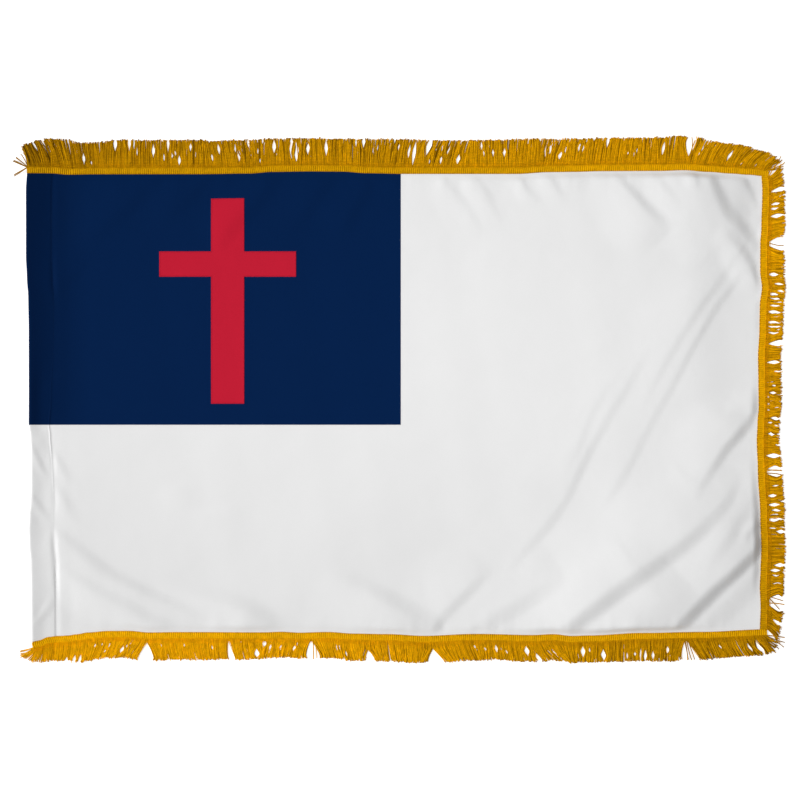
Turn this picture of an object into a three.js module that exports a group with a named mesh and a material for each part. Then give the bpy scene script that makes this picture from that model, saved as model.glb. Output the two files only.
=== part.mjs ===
// A fringed ceremonial flag, lying face up on a flat surface: a white field, a dark blue canton with a red
// cross, and gold fringe sewn along the top, fly and bottom edges. The hoist edge is turned under and sewn
// down as a pole sleeve, which lies a little open.
//
// Millimetres. X runs along the fly, Y towards the top edge, Z up. The origin is on the surface, under the
// middle of the whole piece. On the cloth, u is the distance from the hoist fold and v the distance from
// the bottom edge, before the edges wander.
import * as THREE from "three";

// ---- Driving dimensions ----

const CLOTH = { length: 1422, height: 914, thickness: 1.2, gap: 0.3 };
const CANTON = { length: 716, foot: 415 };
const CROSS = {
  centre: 381.5,
  bar: 64,
  span: 264,
  foot: 456,
  armFoot: 701,
  armTop: 750,
  top: 854,
  thickness: 1,
};

// The sleeve stands open from its fold to its crown, and comes down by its foot to the stitch line. The
// cloth's raw edge is turned under past that line, and the cloth settles onto the surface beyond it.
const SLEEVE = {
  clear: 6.4,
  crown: 28,
  foot: 41,
  footRise: 1.3,
  stitch: 48,
  turning: 14,
  settle: 14,
  foldSteps: 6,
};

// The trim's heading is sewn over the edge of the cloth. Past the edge its skirt comes down onto the
// surface, and the strands reach on from there.
const TRIM = {
  heading: 12,
  headingThickness: 2.2,
  clear: 0.6,
  skirt: 10,
  strandThickness: 1.6,
  tipThickness: 1.2,
};
const REACH = { top: 51, fly: 36, bottom: 40, hoist: 22 };
const TEETH = { alongEdge: 42, alongFly: 26, gap: 6, narrowing: 0.14, ragged: 2, raggedTurn: 2.4 };

// How far apart the grid lines of the panels are at most.
const GRID = { fly: 30, hoist: 80, rows: 31, cantonRows: 83 };

// How far in from an edge its wander eases off, and how the folds rise from a heading and from their ends.
const EASING = {
  fromHoistAndFly: 220,
  fromTopAndBottom: 150,
  fromHeading: 26,
  foldEnds: 0.22,
  foldSteps: 24,
};
const COLOURS = { white: 0xeaeaea, blue: 0x09234b, red: 0xc11d34, gold: 0xcb8c0c };

const ORIGIN = {
  u: (CLOTH.length + REACH.fly - REACH.hoist) / 2,
  v: (CLOTH.height + REACH.top - REACH.bottom) / 2,
};

// How far each edge of the cloth wanders from its straight line: rise is towards the top edge, and shift
// towards the fly.
const TOP_EDGE = [
  { u: 0, rise: -2 },
  { u: 45, rise: -2 },
  { u: 78, rise: -4.4 },
  { u: 130, rise: -3.6 },
  { u: 330, rise: -3.4 },
  { u: 425, rise: -2.2 },
  { u: 466, rise: 1 },
  { u: 540, rise: 2 },
  { u: 605, rise: 1.5 },
  { u: 650, rise: -1.6 },
  { u: 720, rise: -2.8 },
  { u: 940, rise: -2.8 },
  { u: 1000, rise: 0.6 },
  { u: 1050, rise: 1.2 },
  { u: 1100, rise: 2.6 },
  { u: 1215, rise: 3 },
  { u: 1262, rise: 4.4 },
  { u: 1310, rise: 1 },
  { u: 1350, rise: -2 },
  { u: 1385, rise: -4.5 },
  { u: 1422, rise: -8 },
];
const BOTTOM_EDGE = [
  { u: 0, rise: -15 },
  { u: 14, rise: -12.5 },
  { u: 34, rise: -5.6 },
  { u: 50, rise: -4 },
  { u: 70, rise: -3.2 },
  { u: 89, rise: -0.6 },
  { u: 110, rise: 2.8 },
  { u: 150, rise: 5.8 },
  { u: 190, rise: 6 },
  { u: 230, rise: 2.8 },
  { u: 290, rise: 3.6 },
  { u: 450, rise: 3 },
  { u: 485, rise: 4.2 },
  { u: 520, rise: 2.4 },
  { u: 575, rise: 3.8 },
  { u: 625, rise: 0.6 },
  { u: 690, rise: -0.4 },
  { u: 760, rise: -3.8 },
  { u: 860, rise: 0 },
  { u: 970, rise: -2.2 },
  { u: 1010, rise: -0.5 },
  { u: 1045, rise: -3.9 },
  { u: 1080, rise: -3 },
  { u: 1180, rise: 2 },
  { u: 1300, rise: 4 },
  { u: 1422, rise: 9 },
];
const FLY_EDGE = [
  { v: 0, shift: -2 },
  { v: 60, shift: -0.4 },
  { v: 100, shift: -2 },
  { v: 135, shift: -0.5 },
  { v: 175, shift: 1 },
  { v: 240, shift: -1 },
  { v: 330, shift: -5.8 },
  { v: 385, shift: -7.8 },
  { v: 420, shift: -6.4 },
  { v: 450, shift: -4.1 },
  { v: 495, shift: -4.6 },
  { v: 545, shift: -5.4 },
  { v: 600, shift: -2.6 },
  { v: 645, shift: -2 },
  { v: 680, shift: 2.2 },
  { v: 712, shift: -1.2 },
  { v: 760, shift: -1 },
  { v: 800, shift: 1.2 },
  { v: 870, shift: 3 },
  { v: 914, shift: 1 },
];
const CANTON_HOIST = [
  { v: 415, shift: -1.6 },
  { v: 480, shift: -1.4 },
  { v: 600, shift: -1.6 },
  { v: 660, shift: -2.6 },
  { v: 700, shift: -5.2 },
  { v: 740, shift: -7 },
  { v: 870, shift: -7 },
  { v: 914, shift: -4.5 },
];
const FIELD_HOIST = [
  { v: 0, shift: 3.2 },
  { v: 77, shift: 2.8 },
  { v: 150, shift: 1.6 },
  { v: 185, shift: -1.2 },
  { v: 214, shift: -2.2 },
  { v: 245, shift: -0.8 },
  { v: 265, shift: 1.2 },
  { v: 300, shift: 2.4 },
  { v: 369, shift: 2.2 },
  { v: 395, shift: 0.8 },
  { v: 415, shift: -2.2 },
];

// The folds that stand up from the surface. Each runs from its first point past its bend to its last one,
// and from its crest slopes down over its left reach and its right reach.
const FOLDS = [
  { fromU: 1262, fromV: 12, bendU: 1310, bendV: 90, toU: 1425, toV: 190, crest: 13, left: 52, right: 30 },
  { fromU: 1010, fromV: 12, bendU: 1190, bendV: 100, toU: 1385, toV: 330, crest: 11.5, left: 60, right: 34 },
  { fromU: 1285, fromV: 270, bendU: 1330, bendV: 345, toU: 1405, toV: 430, crest: 6, left: 40, right: 30 },
  { fromU: 850, fromV: 15, bendU: 905, bendV: 90, toU: 1000, toV: 92, crest: 6, left: 44, right: 34 },
  { fromU: 780, fromV: 20, bendU: 825, bendV: 80, toU: 885, toV: 128, crest: 3.5, left: 40, right: 32 },
  { fromU: 930, fromV: 140, bendU: 1050, bendV: 245, toU: 1080, toV: 370, crest: 4, left: 46, right: 34 },
  { fromU: 1065, fromV: 330, bendU: 1115, bendV: 440, toU: 1205, toV: 570, crest: 3, left: 44, right: 34 },
  { fromU: 1100, fromV: 255, bendU: 1200, bendV: 430, toU: 1290, toV: 590, crest: 4, left: 44, right: 30 },
  { fromU: 1250, fromV: 520, bendU: 1300, bendV: 610, toU: 1385, toV: 725, crest: 5, left: 40, right: 30 },
  { fromU: 1308, fromV: 905, bendU: 1335, bendV: 835, toU: 1400, toV: 775, crest: 8, left: 30, right: 40 },
  { fromU: 1345, fromV: 775, bendU: 1385, bendV: 765, toU: 1408, toV: 680, crest: 6, left: 30, right: 36 },
  { fromU: 1120, fromV: 905, bendU: 1165, bendV: 860, toU: 1230, toV: 795, crest: 4, left: 30, right: 36 },
  { fromU: 50, fromV: 222, bendU: 150, bendV: 125, toU: 330, toV: 46, crest: 5, left: 38, right: 34 },
  { fromU: 600, fromV: 128, bendU: 680, bendV: 100, toU: 765, toV: 48, crest: 6, left: 42, right: 36 },
];

// How far the tips of the strands lie along the edge from their roots.
const TOP_LEAN = [
  { u: 0, lean: -24 },
  { u: 60, lean: -16 },
  { u: 120, lean: -4 },
  { u: 400, lean: -5 },
  { u: 600, lean: 2 },
  { u: 820, lean: 10 },
  { u: 900, lean: 1 },
  { u: 1020, lean: 9 },
  { u: 1240, lean: 6 },
  { u: 1300, lean: 22 },
  { u: 1422, lean: 31 },
];
const BOTTOM_LEAN = [
  { u: 0, lean: -24 },
  { u: 50, lean: -6 },
  { u: 190, lean: -10 },
  { u: 260, lean: 6 },
  { u: 470, lean: 0 },
  { u: 560, lean: 7 },
  { u: 740, lean: 2 },
  { u: 800, lean: 11 },
  { u: 1030, lean: 9 },
  { u: 1200, lean: 0 },
  { u: 1300, lean: 16 },
  { u: 1422, lean: 22 },
];
const FLY_LEAN = [
  { v: 0, lean: -16 },
  { v: 60, lean: -8 },
  { v: 200, lean: 0 },
  { v: 440, lean: -4 },
  { v: 800, lean: 0 },
  { v: 914, lean: 12 },
];

// ---- Helpers ----

const eased = (x) => THREE.MathUtils.smoothstep(x, 0, 1);
const mix = THREE.MathUtils.lerp;

// The value of a table at a place, between the rows on either side of it, and level past the ends.
function along(table, place, value, at, ease = eased) {
  const next = table.findIndex((row) => row[place] > at);
  if (next === 0) return table[0][value];
  if (next < 0) return table[table.length - 1][value];
  const [a, b] = [table[next - 1], table[next]];
  return mix(a[value], b[value], ease((at - a[place]) / (b[place] - a[place])));
}

// Evenly spaced grid lines from one place to another, both included, at most a step apart.
function lines(from, to, step) {
  const count = Math.ceil((to - from) / step);
  return Array.from({ length: count + 1 }, (_, i) => mix(from, to, i / count));
}

// ---- How the cloth lies ----

// One fold's height at a point of the cloth.
function foldHeight(fold, u, v) {
  const crest = new THREE.QuadraticBezierCurve(
    new THREE.Vector2(fold.fromU, fold.fromV),
    new THREE.Vector2(fold.bendU, fold.bendV),
    new THREE.Vector2(fold.toU, fold.toV),
  );
  const point = new THREE.Vector2(u, v);
  const steps = lines(0, 1, 1 / EASING.foldSteps);
  const distances = steps.map((t) => crest.getPoint(t).distanceTo(point));
  const distance = Math.min(...distances);
  const t = steps[distances.indexOf(distance)];
  const onLeft = crest.getTangent(t).cross(point.clone().sub(crest.getPoint(t))) > 0;
  const ends = eased(Math.min(t, 1 - t) / EASING.foldEnds);
  return fold.crest * ends * (1 - eased(distance / (onLeft ? fold.left : fold.right)));
}

// All the folds. The trim's heading holds the sewn edges flat, and so does the seam of the sleeve.
function foldsAt(u, v) {
  const fromHeading = Math.min(v, CLOTH.height - v, CLOTH.length - u) - TRIM.heading;
  const fromSleeve = u - SLEEVE.stitch - SLEEVE.turning - SLEEVE.settle;
  const free = eased(Math.min(fromHeading, fromSleeve) / EASING.fromHeading);
  return free * Math.max(...FOLDS.map((fold) => foldHeight(fold, u, v)));
}

// A point of the cloth or its trim, at a height, with the edges' wander easing off inwards.
function place(u, v, z, hoistEdge) {
  const nearHoist = 1 - eased(u / EASING.fromHoistAndFly);
  const nearFly = 1 - eased((CLOTH.length - u) / EASING.fromHoistAndFly);
  const nearTop = 1 - eased((CLOTH.height - v) / EASING.fromTopAndBottom);
  const nearBottom = 1 - eased(v / EASING.fromTopAndBottom);
  const shift = nearHoist * along(hoistEdge, "v", "shift", v) + nearFly * along(FLY_EDGE, "v", "shift", v);
  const rise = nearTop * along(TOP_EDGE, "u", "rise", u) + nearBottom * along(BOTTOM_EDGE, "u", "rise", u);
  return [u + shift - ORIGIN.u, v + rise - ORIGIN.v, z];
}

// The middle of the cloth above the sleeve's opening, from its crown to where it lies on the surface.
const OVER_SLEEVE = [
  { u: SLEEVE.crown, z: 1.5 * CLOTH.thickness + SLEEVE.clear },
  { u: SLEEVE.foot, z: 1.5 * CLOTH.thickness + CLOTH.gap + SLEEVE.footRise },
  { u: SLEEVE.stitch, z: 1.5 * CLOTH.thickness + CLOTH.gap },
  { u: SLEEVE.stitch + SLEEVE.turning, z: 1.5 * CLOTH.thickness + CLOTH.gap },
  { u: SLEEVE.stitch + SLEEVE.turning + SLEEVE.settle, z: CLOTH.thickness / 2 },
];

// The same line from the raw edge of the turning: back under the sleeve, round the fold and over it.
function hoistSection() {
  const half = CLOTH.thickness / 2;
  const bend = (SLEEVE.clear + CLOTH.thickness) / 2;
  const fold = lines(0, Math.PI, Math.PI / SLEEVE.foldSteps).map((turn) => ({
    u: half + bend * (1 - Math.sin(turn)),
    z: half + bend * (1 - Math.cos(turn)),
  }));
  return [
    { u: SLEEVE.stitch + SLEEVE.turning, z: half },
    { u: SLEEVE.crown, z: half },
    ...fold,
    ...OVER_SLEEVE,
  ];
}

// Turns the middle line of a section of cloth into its front and back, square to the line.
function withSides(section) {
  return section.map(({ u, z }, i) => {
    const before = section[Math.max(i - 1, 0)];
    const after = section[Math.min(i + 1, section.length - 1)];
    const into = new THREE.Vector2(u - before.u, z - before.z).normalize();
    const out = new THREE.Vector2(after.u - u, after.z - z).normalize();
    const run = into.add(out).setLength(CLOTH.thickness / 2);
    return {
      front: { u: u - run.y, z: z + run.x },
      back: { u: u + run.y, z: z - run.x },
    };
  });
}

// ---- Sheets ----

// A closed sheet over the filled cells of a grid. points(column, row) gives the front and the back of the
// sheet at a crossing of two grid lines. Seen from the front, rows run up where columns run to the right.
function sheet(name, material, columns, rows, filled, points) {
  const vertices = [];
  const triangles = [];
  const numbers = new Map();
  const number = (i, j) => {
    const key = `${i} ${j}`;
    if (!numbers.has(key)) {
      const { front, back } = points(i, j);
      numbers.set(key, vertices.length / 3);
      vertices.push(...front, ...back);
    }
    return numbers.get(key);
  };
  const quad = (a, b, c, d) => triangles.push(a, b, c, a, c, d);
  const wall = (a, b) => quad(a, a + 1, b + 1, b);
  const inside = (i, j) => i >= 0 && j >= 0 && i < columns - 1 && j < rows - 1 && filled(i, j);
  for (let i = 0; i < columns - 1; i++) {
    for (let j = 0; j < rows - 1; j++) {
      if (!inside(i, j)) continue;
      const corners = [number(i, j), number(i + 1, j), number(i + 1, j + 1), number(i, j + 1)];
      const [a, b, c, d] = corners;
      quad(a, b, c, d);
      quad(a + 1, d + 1, c + 1, b + 1);
      if (!inside(i, j - 1)) wall(a, b);
      if (!inside(i + 1, j)) wall(b, c);
      if (!inside(i, j + 1)) wall(c, d);
      if (!inside(i - 1, j)) wall(d, a);
    }
  }
  const geometry = new THREE.BufferGeometry();
  geometry.setAttribute("position", new THREE.Float32BufferAttribute(vertices, 3));
  geometry.setIndex(triangles);
  geometry.computeVertexNormals();
  const mesh = new THREE.Mesh(geometry, material);
  mesh.name = name;
  return mesh;
}

// A panel of cloth with its pole sleeve: flatColumns are its grid lines beyond the sleeve.
function panel(name, material, flatColumns, rows, filled, hoistEdge) {
  const flat = flatColumns.map((u) => ({ u, z: CLOTH.thickness / 2 }));
  const columns = withSides([...hoistSection(), ...flat]);
  const points = (i, j) => {
    const { front, back } = columns[i];
    const v = rows[j];
    return {
      front: place(front.u, v, front.z + foldsAt(front.u, v), hoistEdge),
      back: place(back.u, v, back.z + foldsAt(back.u, v), hoistEdge),
    };
  };
  const right = (i) => columns[i].front.u;
  const inCell = (i, j) => filled(right(i), rows[j]);
  return sheet(name, material, columns.length, rows.length, inCell, points);
}

// ---- Pieces ----

const satin = (color) => new THREE.MeshStandardMaterial({ color, roughness: 0.55, metalness: 0 });
const flatFrom = SLEEVE.stitch + SLEEVE.turning + SLEEVE.settle;

function field() {
  const columns = [
    ...lines(flatFrom, CANTON.length, GRID.hoist).slice(1),
    ...lines(CANTON.length, CLOTH.length - TRIM.heading, GRID.fly).slice(1),
    CLOTH.length,
  ];
  const rows = [
    0,
    ...lines(TRIM.heading, CANTON.foot, GRID.rows),
    ...lines(CANTON.foot, CLOTH.height - TRIM.heading, GRID.rows).slice(1),
    CLOTH.height,
  ];
  const filled = (u, v) => v < CANTON.foot || u >= CANTON.length;
  return panel("field", satin(COLOURS.white), columns, rows, filled, FIELD_HOIST);
}

function canton() {
  const columns = lines(flatFrom, CANTON.length - CLOTH.gap, GRID.hoist).slice(1);
  const rows = lines(CANTON.foot + CLOTH.gap, CLOTH.height, GRID.cantonRows);
  return panel("canton", satin(COLOURS.blue), columns, rows, () => true, CANTON_HOIST);
}

function cross() {
  const { centre, bar, span } = CROSS;
  const columns = [centre - span / 2, centre - bar / 2, centre + bar / 2, centre + span / 2];
  const rows = [CROSS.foot, CROSS.armFoot, CROSS.armTop, CROSS.top];
  const filled = (i, j) => i === 1 || j === 1;
  const back = CLOTH.thickness + CLOTH.gap;
  const points = (i, j) => ({
    front: place(columns[i], rows[j], back + CROSS.thickness, CANTON_HOIST),
    back: place(columns[i], rows[j], back, CANTON_HOIST),
  });
  return sheet("cross", satin(COLOURS.red), columns.length, rows.length, filled, points);
}

// A length of fringe as one comb. It runs from one place to another along its edge, and at(place, out)
// gives the point of the flag at a place, so far out past the edge of the cloth.
function comb({ name, teeth, from, to, reach, at, leanAt, hoistEdge }) {
  const pitch = (to - from + Math.sign(to - from) * TEETH.gap) / teeth;
  const width = pitch - Math.sign(pitch) * TEETH.gap;
  const toothFrom = (i) => from + Math.floor(i / 2) * pitch;
  const columns = Array.from({ length: 2 * teeth }, (_, i) => toothFrom(i) + (i % 2) * width);
  const rows = [
    { out: -TRIM.heading, strand: 0, thickness: TRIM.headingThickness, onCloth: true },
    { out: TRIM.clear, strand: 0, thickness: TRIM.headingThickness, onCloth: true },
    { out: TRIM.skirt, strand: 0, thickness: TRIM.strandThickness, onCloth: false },
    { out: TRIM.skirt, strand: 0.5, thickness: TRIM.strandThickness, onCloth: false },
    { out: TRIM.skirt, strand: 1, thickness: TRIM.tipThickness, onCloth: false },
  ];
  const points = (i, j) => {
    const { out, strand, thickness, onCloth } = rows[j];
    const toothMiddle = toothFrom(i) + width / 2;
    const lean = leanAt(toothMiddle);
    const ragged = TEETH.ragged * Math.sin(TEETH.raggedTurn * i);
    const straight = Math.sqrt((reach - TRIM.skirt) ** 2 - lean ** 2) + ragged;
    const narrowed = mix(columns[i], toothMiddle, strand * TEETH.narrowing);
    const { u, v } = at(narrowed + strand * lean, out + strand * straight);
    const root = at(columns[i], 0).u;
    const overSleeve = root <= SLEEVE.stitch + SLEEVE.turning;
    const clothTop = along(OVER_SLEEVE, "u", "z", root, (x) => x) + CLOTH.thickness / 2;
    const z = onCloth || overSleeve ? clothTop + CLOTH.gap : 0;
    return {
      front: place(u, v, z + thickness, hoistEdge),
      back: place(u, v, z, hoistEdge),
    };
  };
  const filled = (i, j) => i % 2 === 0 || rows[j + 1].strand === 0;
  return sheet(name, satin(COLOURS.gold), columns.length, rows.length, filled, points);
}

// The trim goes clockwise round the flag. Its fly length butts between the headings of the other two.
function fringes() {
  const butt = TRIM.heading + CLOTH.gap;
  return [
    comb({
      name: "fringe_top",
      teeth: TEETH.alongEdge,
      from: 0,
      to: CLOTH.length,
      reach: REACH.top,
      at: (u, out) => ({ u, v: CLOTH.height + out }),
      leanAt: (u) => along(TOP_LEAN, "u", "lean", u),
      hoistEdge: CANTON_HOIST,
    }),
    comb({
      name: "fringe_fly",
      teeth: TEETH.alongFly,
      from: CLOTH.height - butt,
      to: butt,
      reach: REACH.fly,
      at: (v, out) => ({ u: CLOTH.length + out, v }),
      leanAt: (v) => along(FLY_LEAN, "v", "lean", v),
      hoistEdge: CANTON_HOIST,
    }),
    comb({
      name: "fringe_bottom",
      teeth: TEETH.alongEdge,
      from: CLOTH.length,
      to: 0,
      reach: REACH.bottom,
      at: (u, out) => ({ u, v: -out }),
      leanAt: (u) => along(BOTTOM_LEAN, "u", "lean", u),
      hoistEdge: FIELD_HOIST,
    }),
  ];
}

const flag = new THREE.Group();
flag.add(field(), canton(), cross(), ...fringes());

export default flag;
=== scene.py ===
"""The looks of a fringed ceremonial flag that lies face up on a pale floor.

The cloth is a white field with a dark blue canton and a red cross. Its hoist edge is turned under and sewn
down as a pole sleeve, and gold fringe with a ribbed heading is sewn along the other three edges.

Sizes in the tables are millimetres. On the cloth, u is the distance from the hoist fold and v the distance
from the bottom edge, before the edges wander. The sizes that a user would change are properties, in metres.
"""

import math
from types import SimpleNamespace

import bpy
import numpy as np
from bpy.props import FloatProperty, FloatVectorProperty, IntProperty, PointerProperty
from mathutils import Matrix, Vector


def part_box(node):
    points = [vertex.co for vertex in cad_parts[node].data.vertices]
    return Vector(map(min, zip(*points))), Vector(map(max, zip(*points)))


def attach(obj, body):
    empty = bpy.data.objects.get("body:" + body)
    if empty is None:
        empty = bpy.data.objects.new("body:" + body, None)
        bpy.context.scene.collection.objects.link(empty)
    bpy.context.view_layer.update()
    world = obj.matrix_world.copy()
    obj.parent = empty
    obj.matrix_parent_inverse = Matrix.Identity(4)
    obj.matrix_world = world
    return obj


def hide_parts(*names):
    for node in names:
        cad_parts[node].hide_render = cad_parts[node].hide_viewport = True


bl_info = {
    "name": "Fringed Flag",
    "version": (1, 0, 0),
    "blender": (4, 5, 0),
    "location": "View3D > Sidebar > Flag",
    "description": "Lays out a fringed ceremonial flag: cloth, pole sleeve, cross and gold fringe",
    "category": "Add Mesh",
}

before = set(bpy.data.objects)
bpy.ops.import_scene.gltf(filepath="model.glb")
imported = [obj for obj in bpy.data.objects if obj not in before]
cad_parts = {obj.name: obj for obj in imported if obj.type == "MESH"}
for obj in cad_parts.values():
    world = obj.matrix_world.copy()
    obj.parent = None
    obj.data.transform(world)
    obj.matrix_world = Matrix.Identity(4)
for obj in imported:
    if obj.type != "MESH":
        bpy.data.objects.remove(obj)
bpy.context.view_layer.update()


# ---- Sizes and tables ----


def table(text):
    """A table's rows of numbers, from text with commas between its rows and spaces within them."""
    return np.array([row.split() for row in text.split(",")], float)


MM = 0.001

CLOTH_LENGTH = 1422
CLOTH_HEIGHT = 914
CANTON_LENGTH = 716
CANTON_FOOT = 415
SEAM_GAP = 0.3
TURNED_UNDER = 78
HEADING_WIDTH = 12

CROSS_CENTRE = 381.5
CROSS_SPAN = 264
CROSS_BAR = 64
CROSS_FOOT = 456
CROSS_ARM_FOOT = 701
CROSS_ARM_TOP = 750
CROSS_TOP = 854
CROSS_GRID = 6.5
CROSS_CLEARANCE = 0.15

# The height of the cloth's middle where it lies flat.
LYING = 0.7

# Where the hoist fold and the bottom edge lie in the frame, told by the left side and the foot of the cross.
HOIST_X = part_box("cross")[0].x / MM - (CROSS_CENTRE - CROSS_SPAN / 2)
BOTTOM_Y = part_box("cross")[0].y / MM - CROSS_FOOT

# How far each edge of the cloth wanders from its straight line, and how far in that eases off.
# u, rise towards the top
TOP_EDGE = table("""
    0 -2, 45 -2, 78 -4.4, 130 -3.6, 330 -3.4, 425 -2.2, 466 1, 540 2, 605 1.5, 650 -1.6, 720 -2.8, 940 -2.8,
    1000 0.6, 1050 1.2, 1100 2.6, 1215 3, 1262 4.4, 1310 1, 1350 -2, 1385 -4.5, 1422 -8
""")
BOTTOM_EDGE = table("""
    0 -15, 14 -12.5, 34 -5.6, 50 -4, 70 -3.2, 89 -0.6, 110 2.8, 150 5.8, 190 6, 230 2.8, 290 3.6, 450 3,
    485 4.2, 520 2.4, 575 3.8, 625 0.6, 690 -0.4, 760 -3.8, 860 0, 970 -2.2, 1010 -0.5, 1045 -3.9, 1080 -3,
    1180 2, 1300 4, 1422 9
""")
# v, shift towards the fly
FLY_EDGE = table("""
    0 -2, 60 -0.4, 100 -2, 135 -0.5, 175 1, 240 -1, 330 -5.8, 385 -7.8, 420 -6.4, 450 -4.1, 495 -4.6,
    545 -5.4, 600 -2.6, 645 -2, 680 2.2, 712 -1.2, 760 -1, 800 1.2, 870 3, 914 1
""")
CANTON_HOIST = table("""
    415 -1.6, 480 -1.4, 600 -1.6, 660 -2.6, 700 -5.2, 740 -7, 870 -7, 914 -4.5
""")
FIELD_HOIST = table("""
    0 3.2, 77 2.8, 150 1.6, 185 -1.2, 214 -2.2, 245 -0.8, 265 1.2, 300 2.4, 369 2.2, 395 0.8, 415 -2.2
""")
WANDER_FROM_HOIST_AND_FLY = 220
WANDER_FROM_TOP_AND_BOTTOM = 150

# The middle of the cloth round the pole sleeve: from its raw edge back under the sleeve to the fold, over
# the crest and down to the stitch line, and on over the turning to where it lies flat.
# u, height, steps from the point before
SLEEVE_SECTION = table("""
    62 0.4 0, 48 0.4 1, 28 0.4 1, 10 0.4 1, 3.4 0.5 1, 1.4 1.1 1, 0.5 2.2 1, 0.2 3.6 1, 0.3 5 1, 0.8 6.2 1,
    1.7 7.1 1, 3 7.4 1, 5.5 7.1 1, 10 6.4 2, 20 5 3, 32 3.5 4, 44 2.1 4, 48 1.7 3, 52 1.6 3, 62 1.4 4,
    78 0.7 4
""")
SLEEVE_STITCH = 48
# How much the height of the sleeve changes along it, over what length, and the seed of that.
SLEEVE_SAG = (0.1, 60, 8)
# How far past the stitch line its wander still moves the cloth, and how far its tucks and grooves reach.
WANDER_PAST_STITCH = 70
TUCK_REACH = 2.6
GROOVE_REACH = 11
# The steps from the raw edge to where the line over the sleeve starts to be smoothed.
SMOOTHED_FROM = 16
# The stitch line along the sleeve: a ridge where its tuck is above nought, a groove where it is below. The
# bulge is how far the cloth stands above its section half way across the sleeve.
# v, u, tuck, bulge
STITCH_LINE = table("""
    0 47.4 -0.8 -1, 40 47.5 -0.8 -0.9, 120 47.8 -0.8 -0.2, 160 48 0 -0.4, 251 46 0.1 -1.1, 330 42 0.3 -0.6,
    386 38.4 0.8 0.2, 415 39 0.7 -0.9, 463 42 0.3 -1.4, 560 46 0 -0.2, 640 48 -0.1 0, 695 48 -0.5 0.1,
    800 48 -0.5 0.3, 870 48.5 -0.8 0.7, 914 48.5 -0.6 0.7
""")

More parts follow.
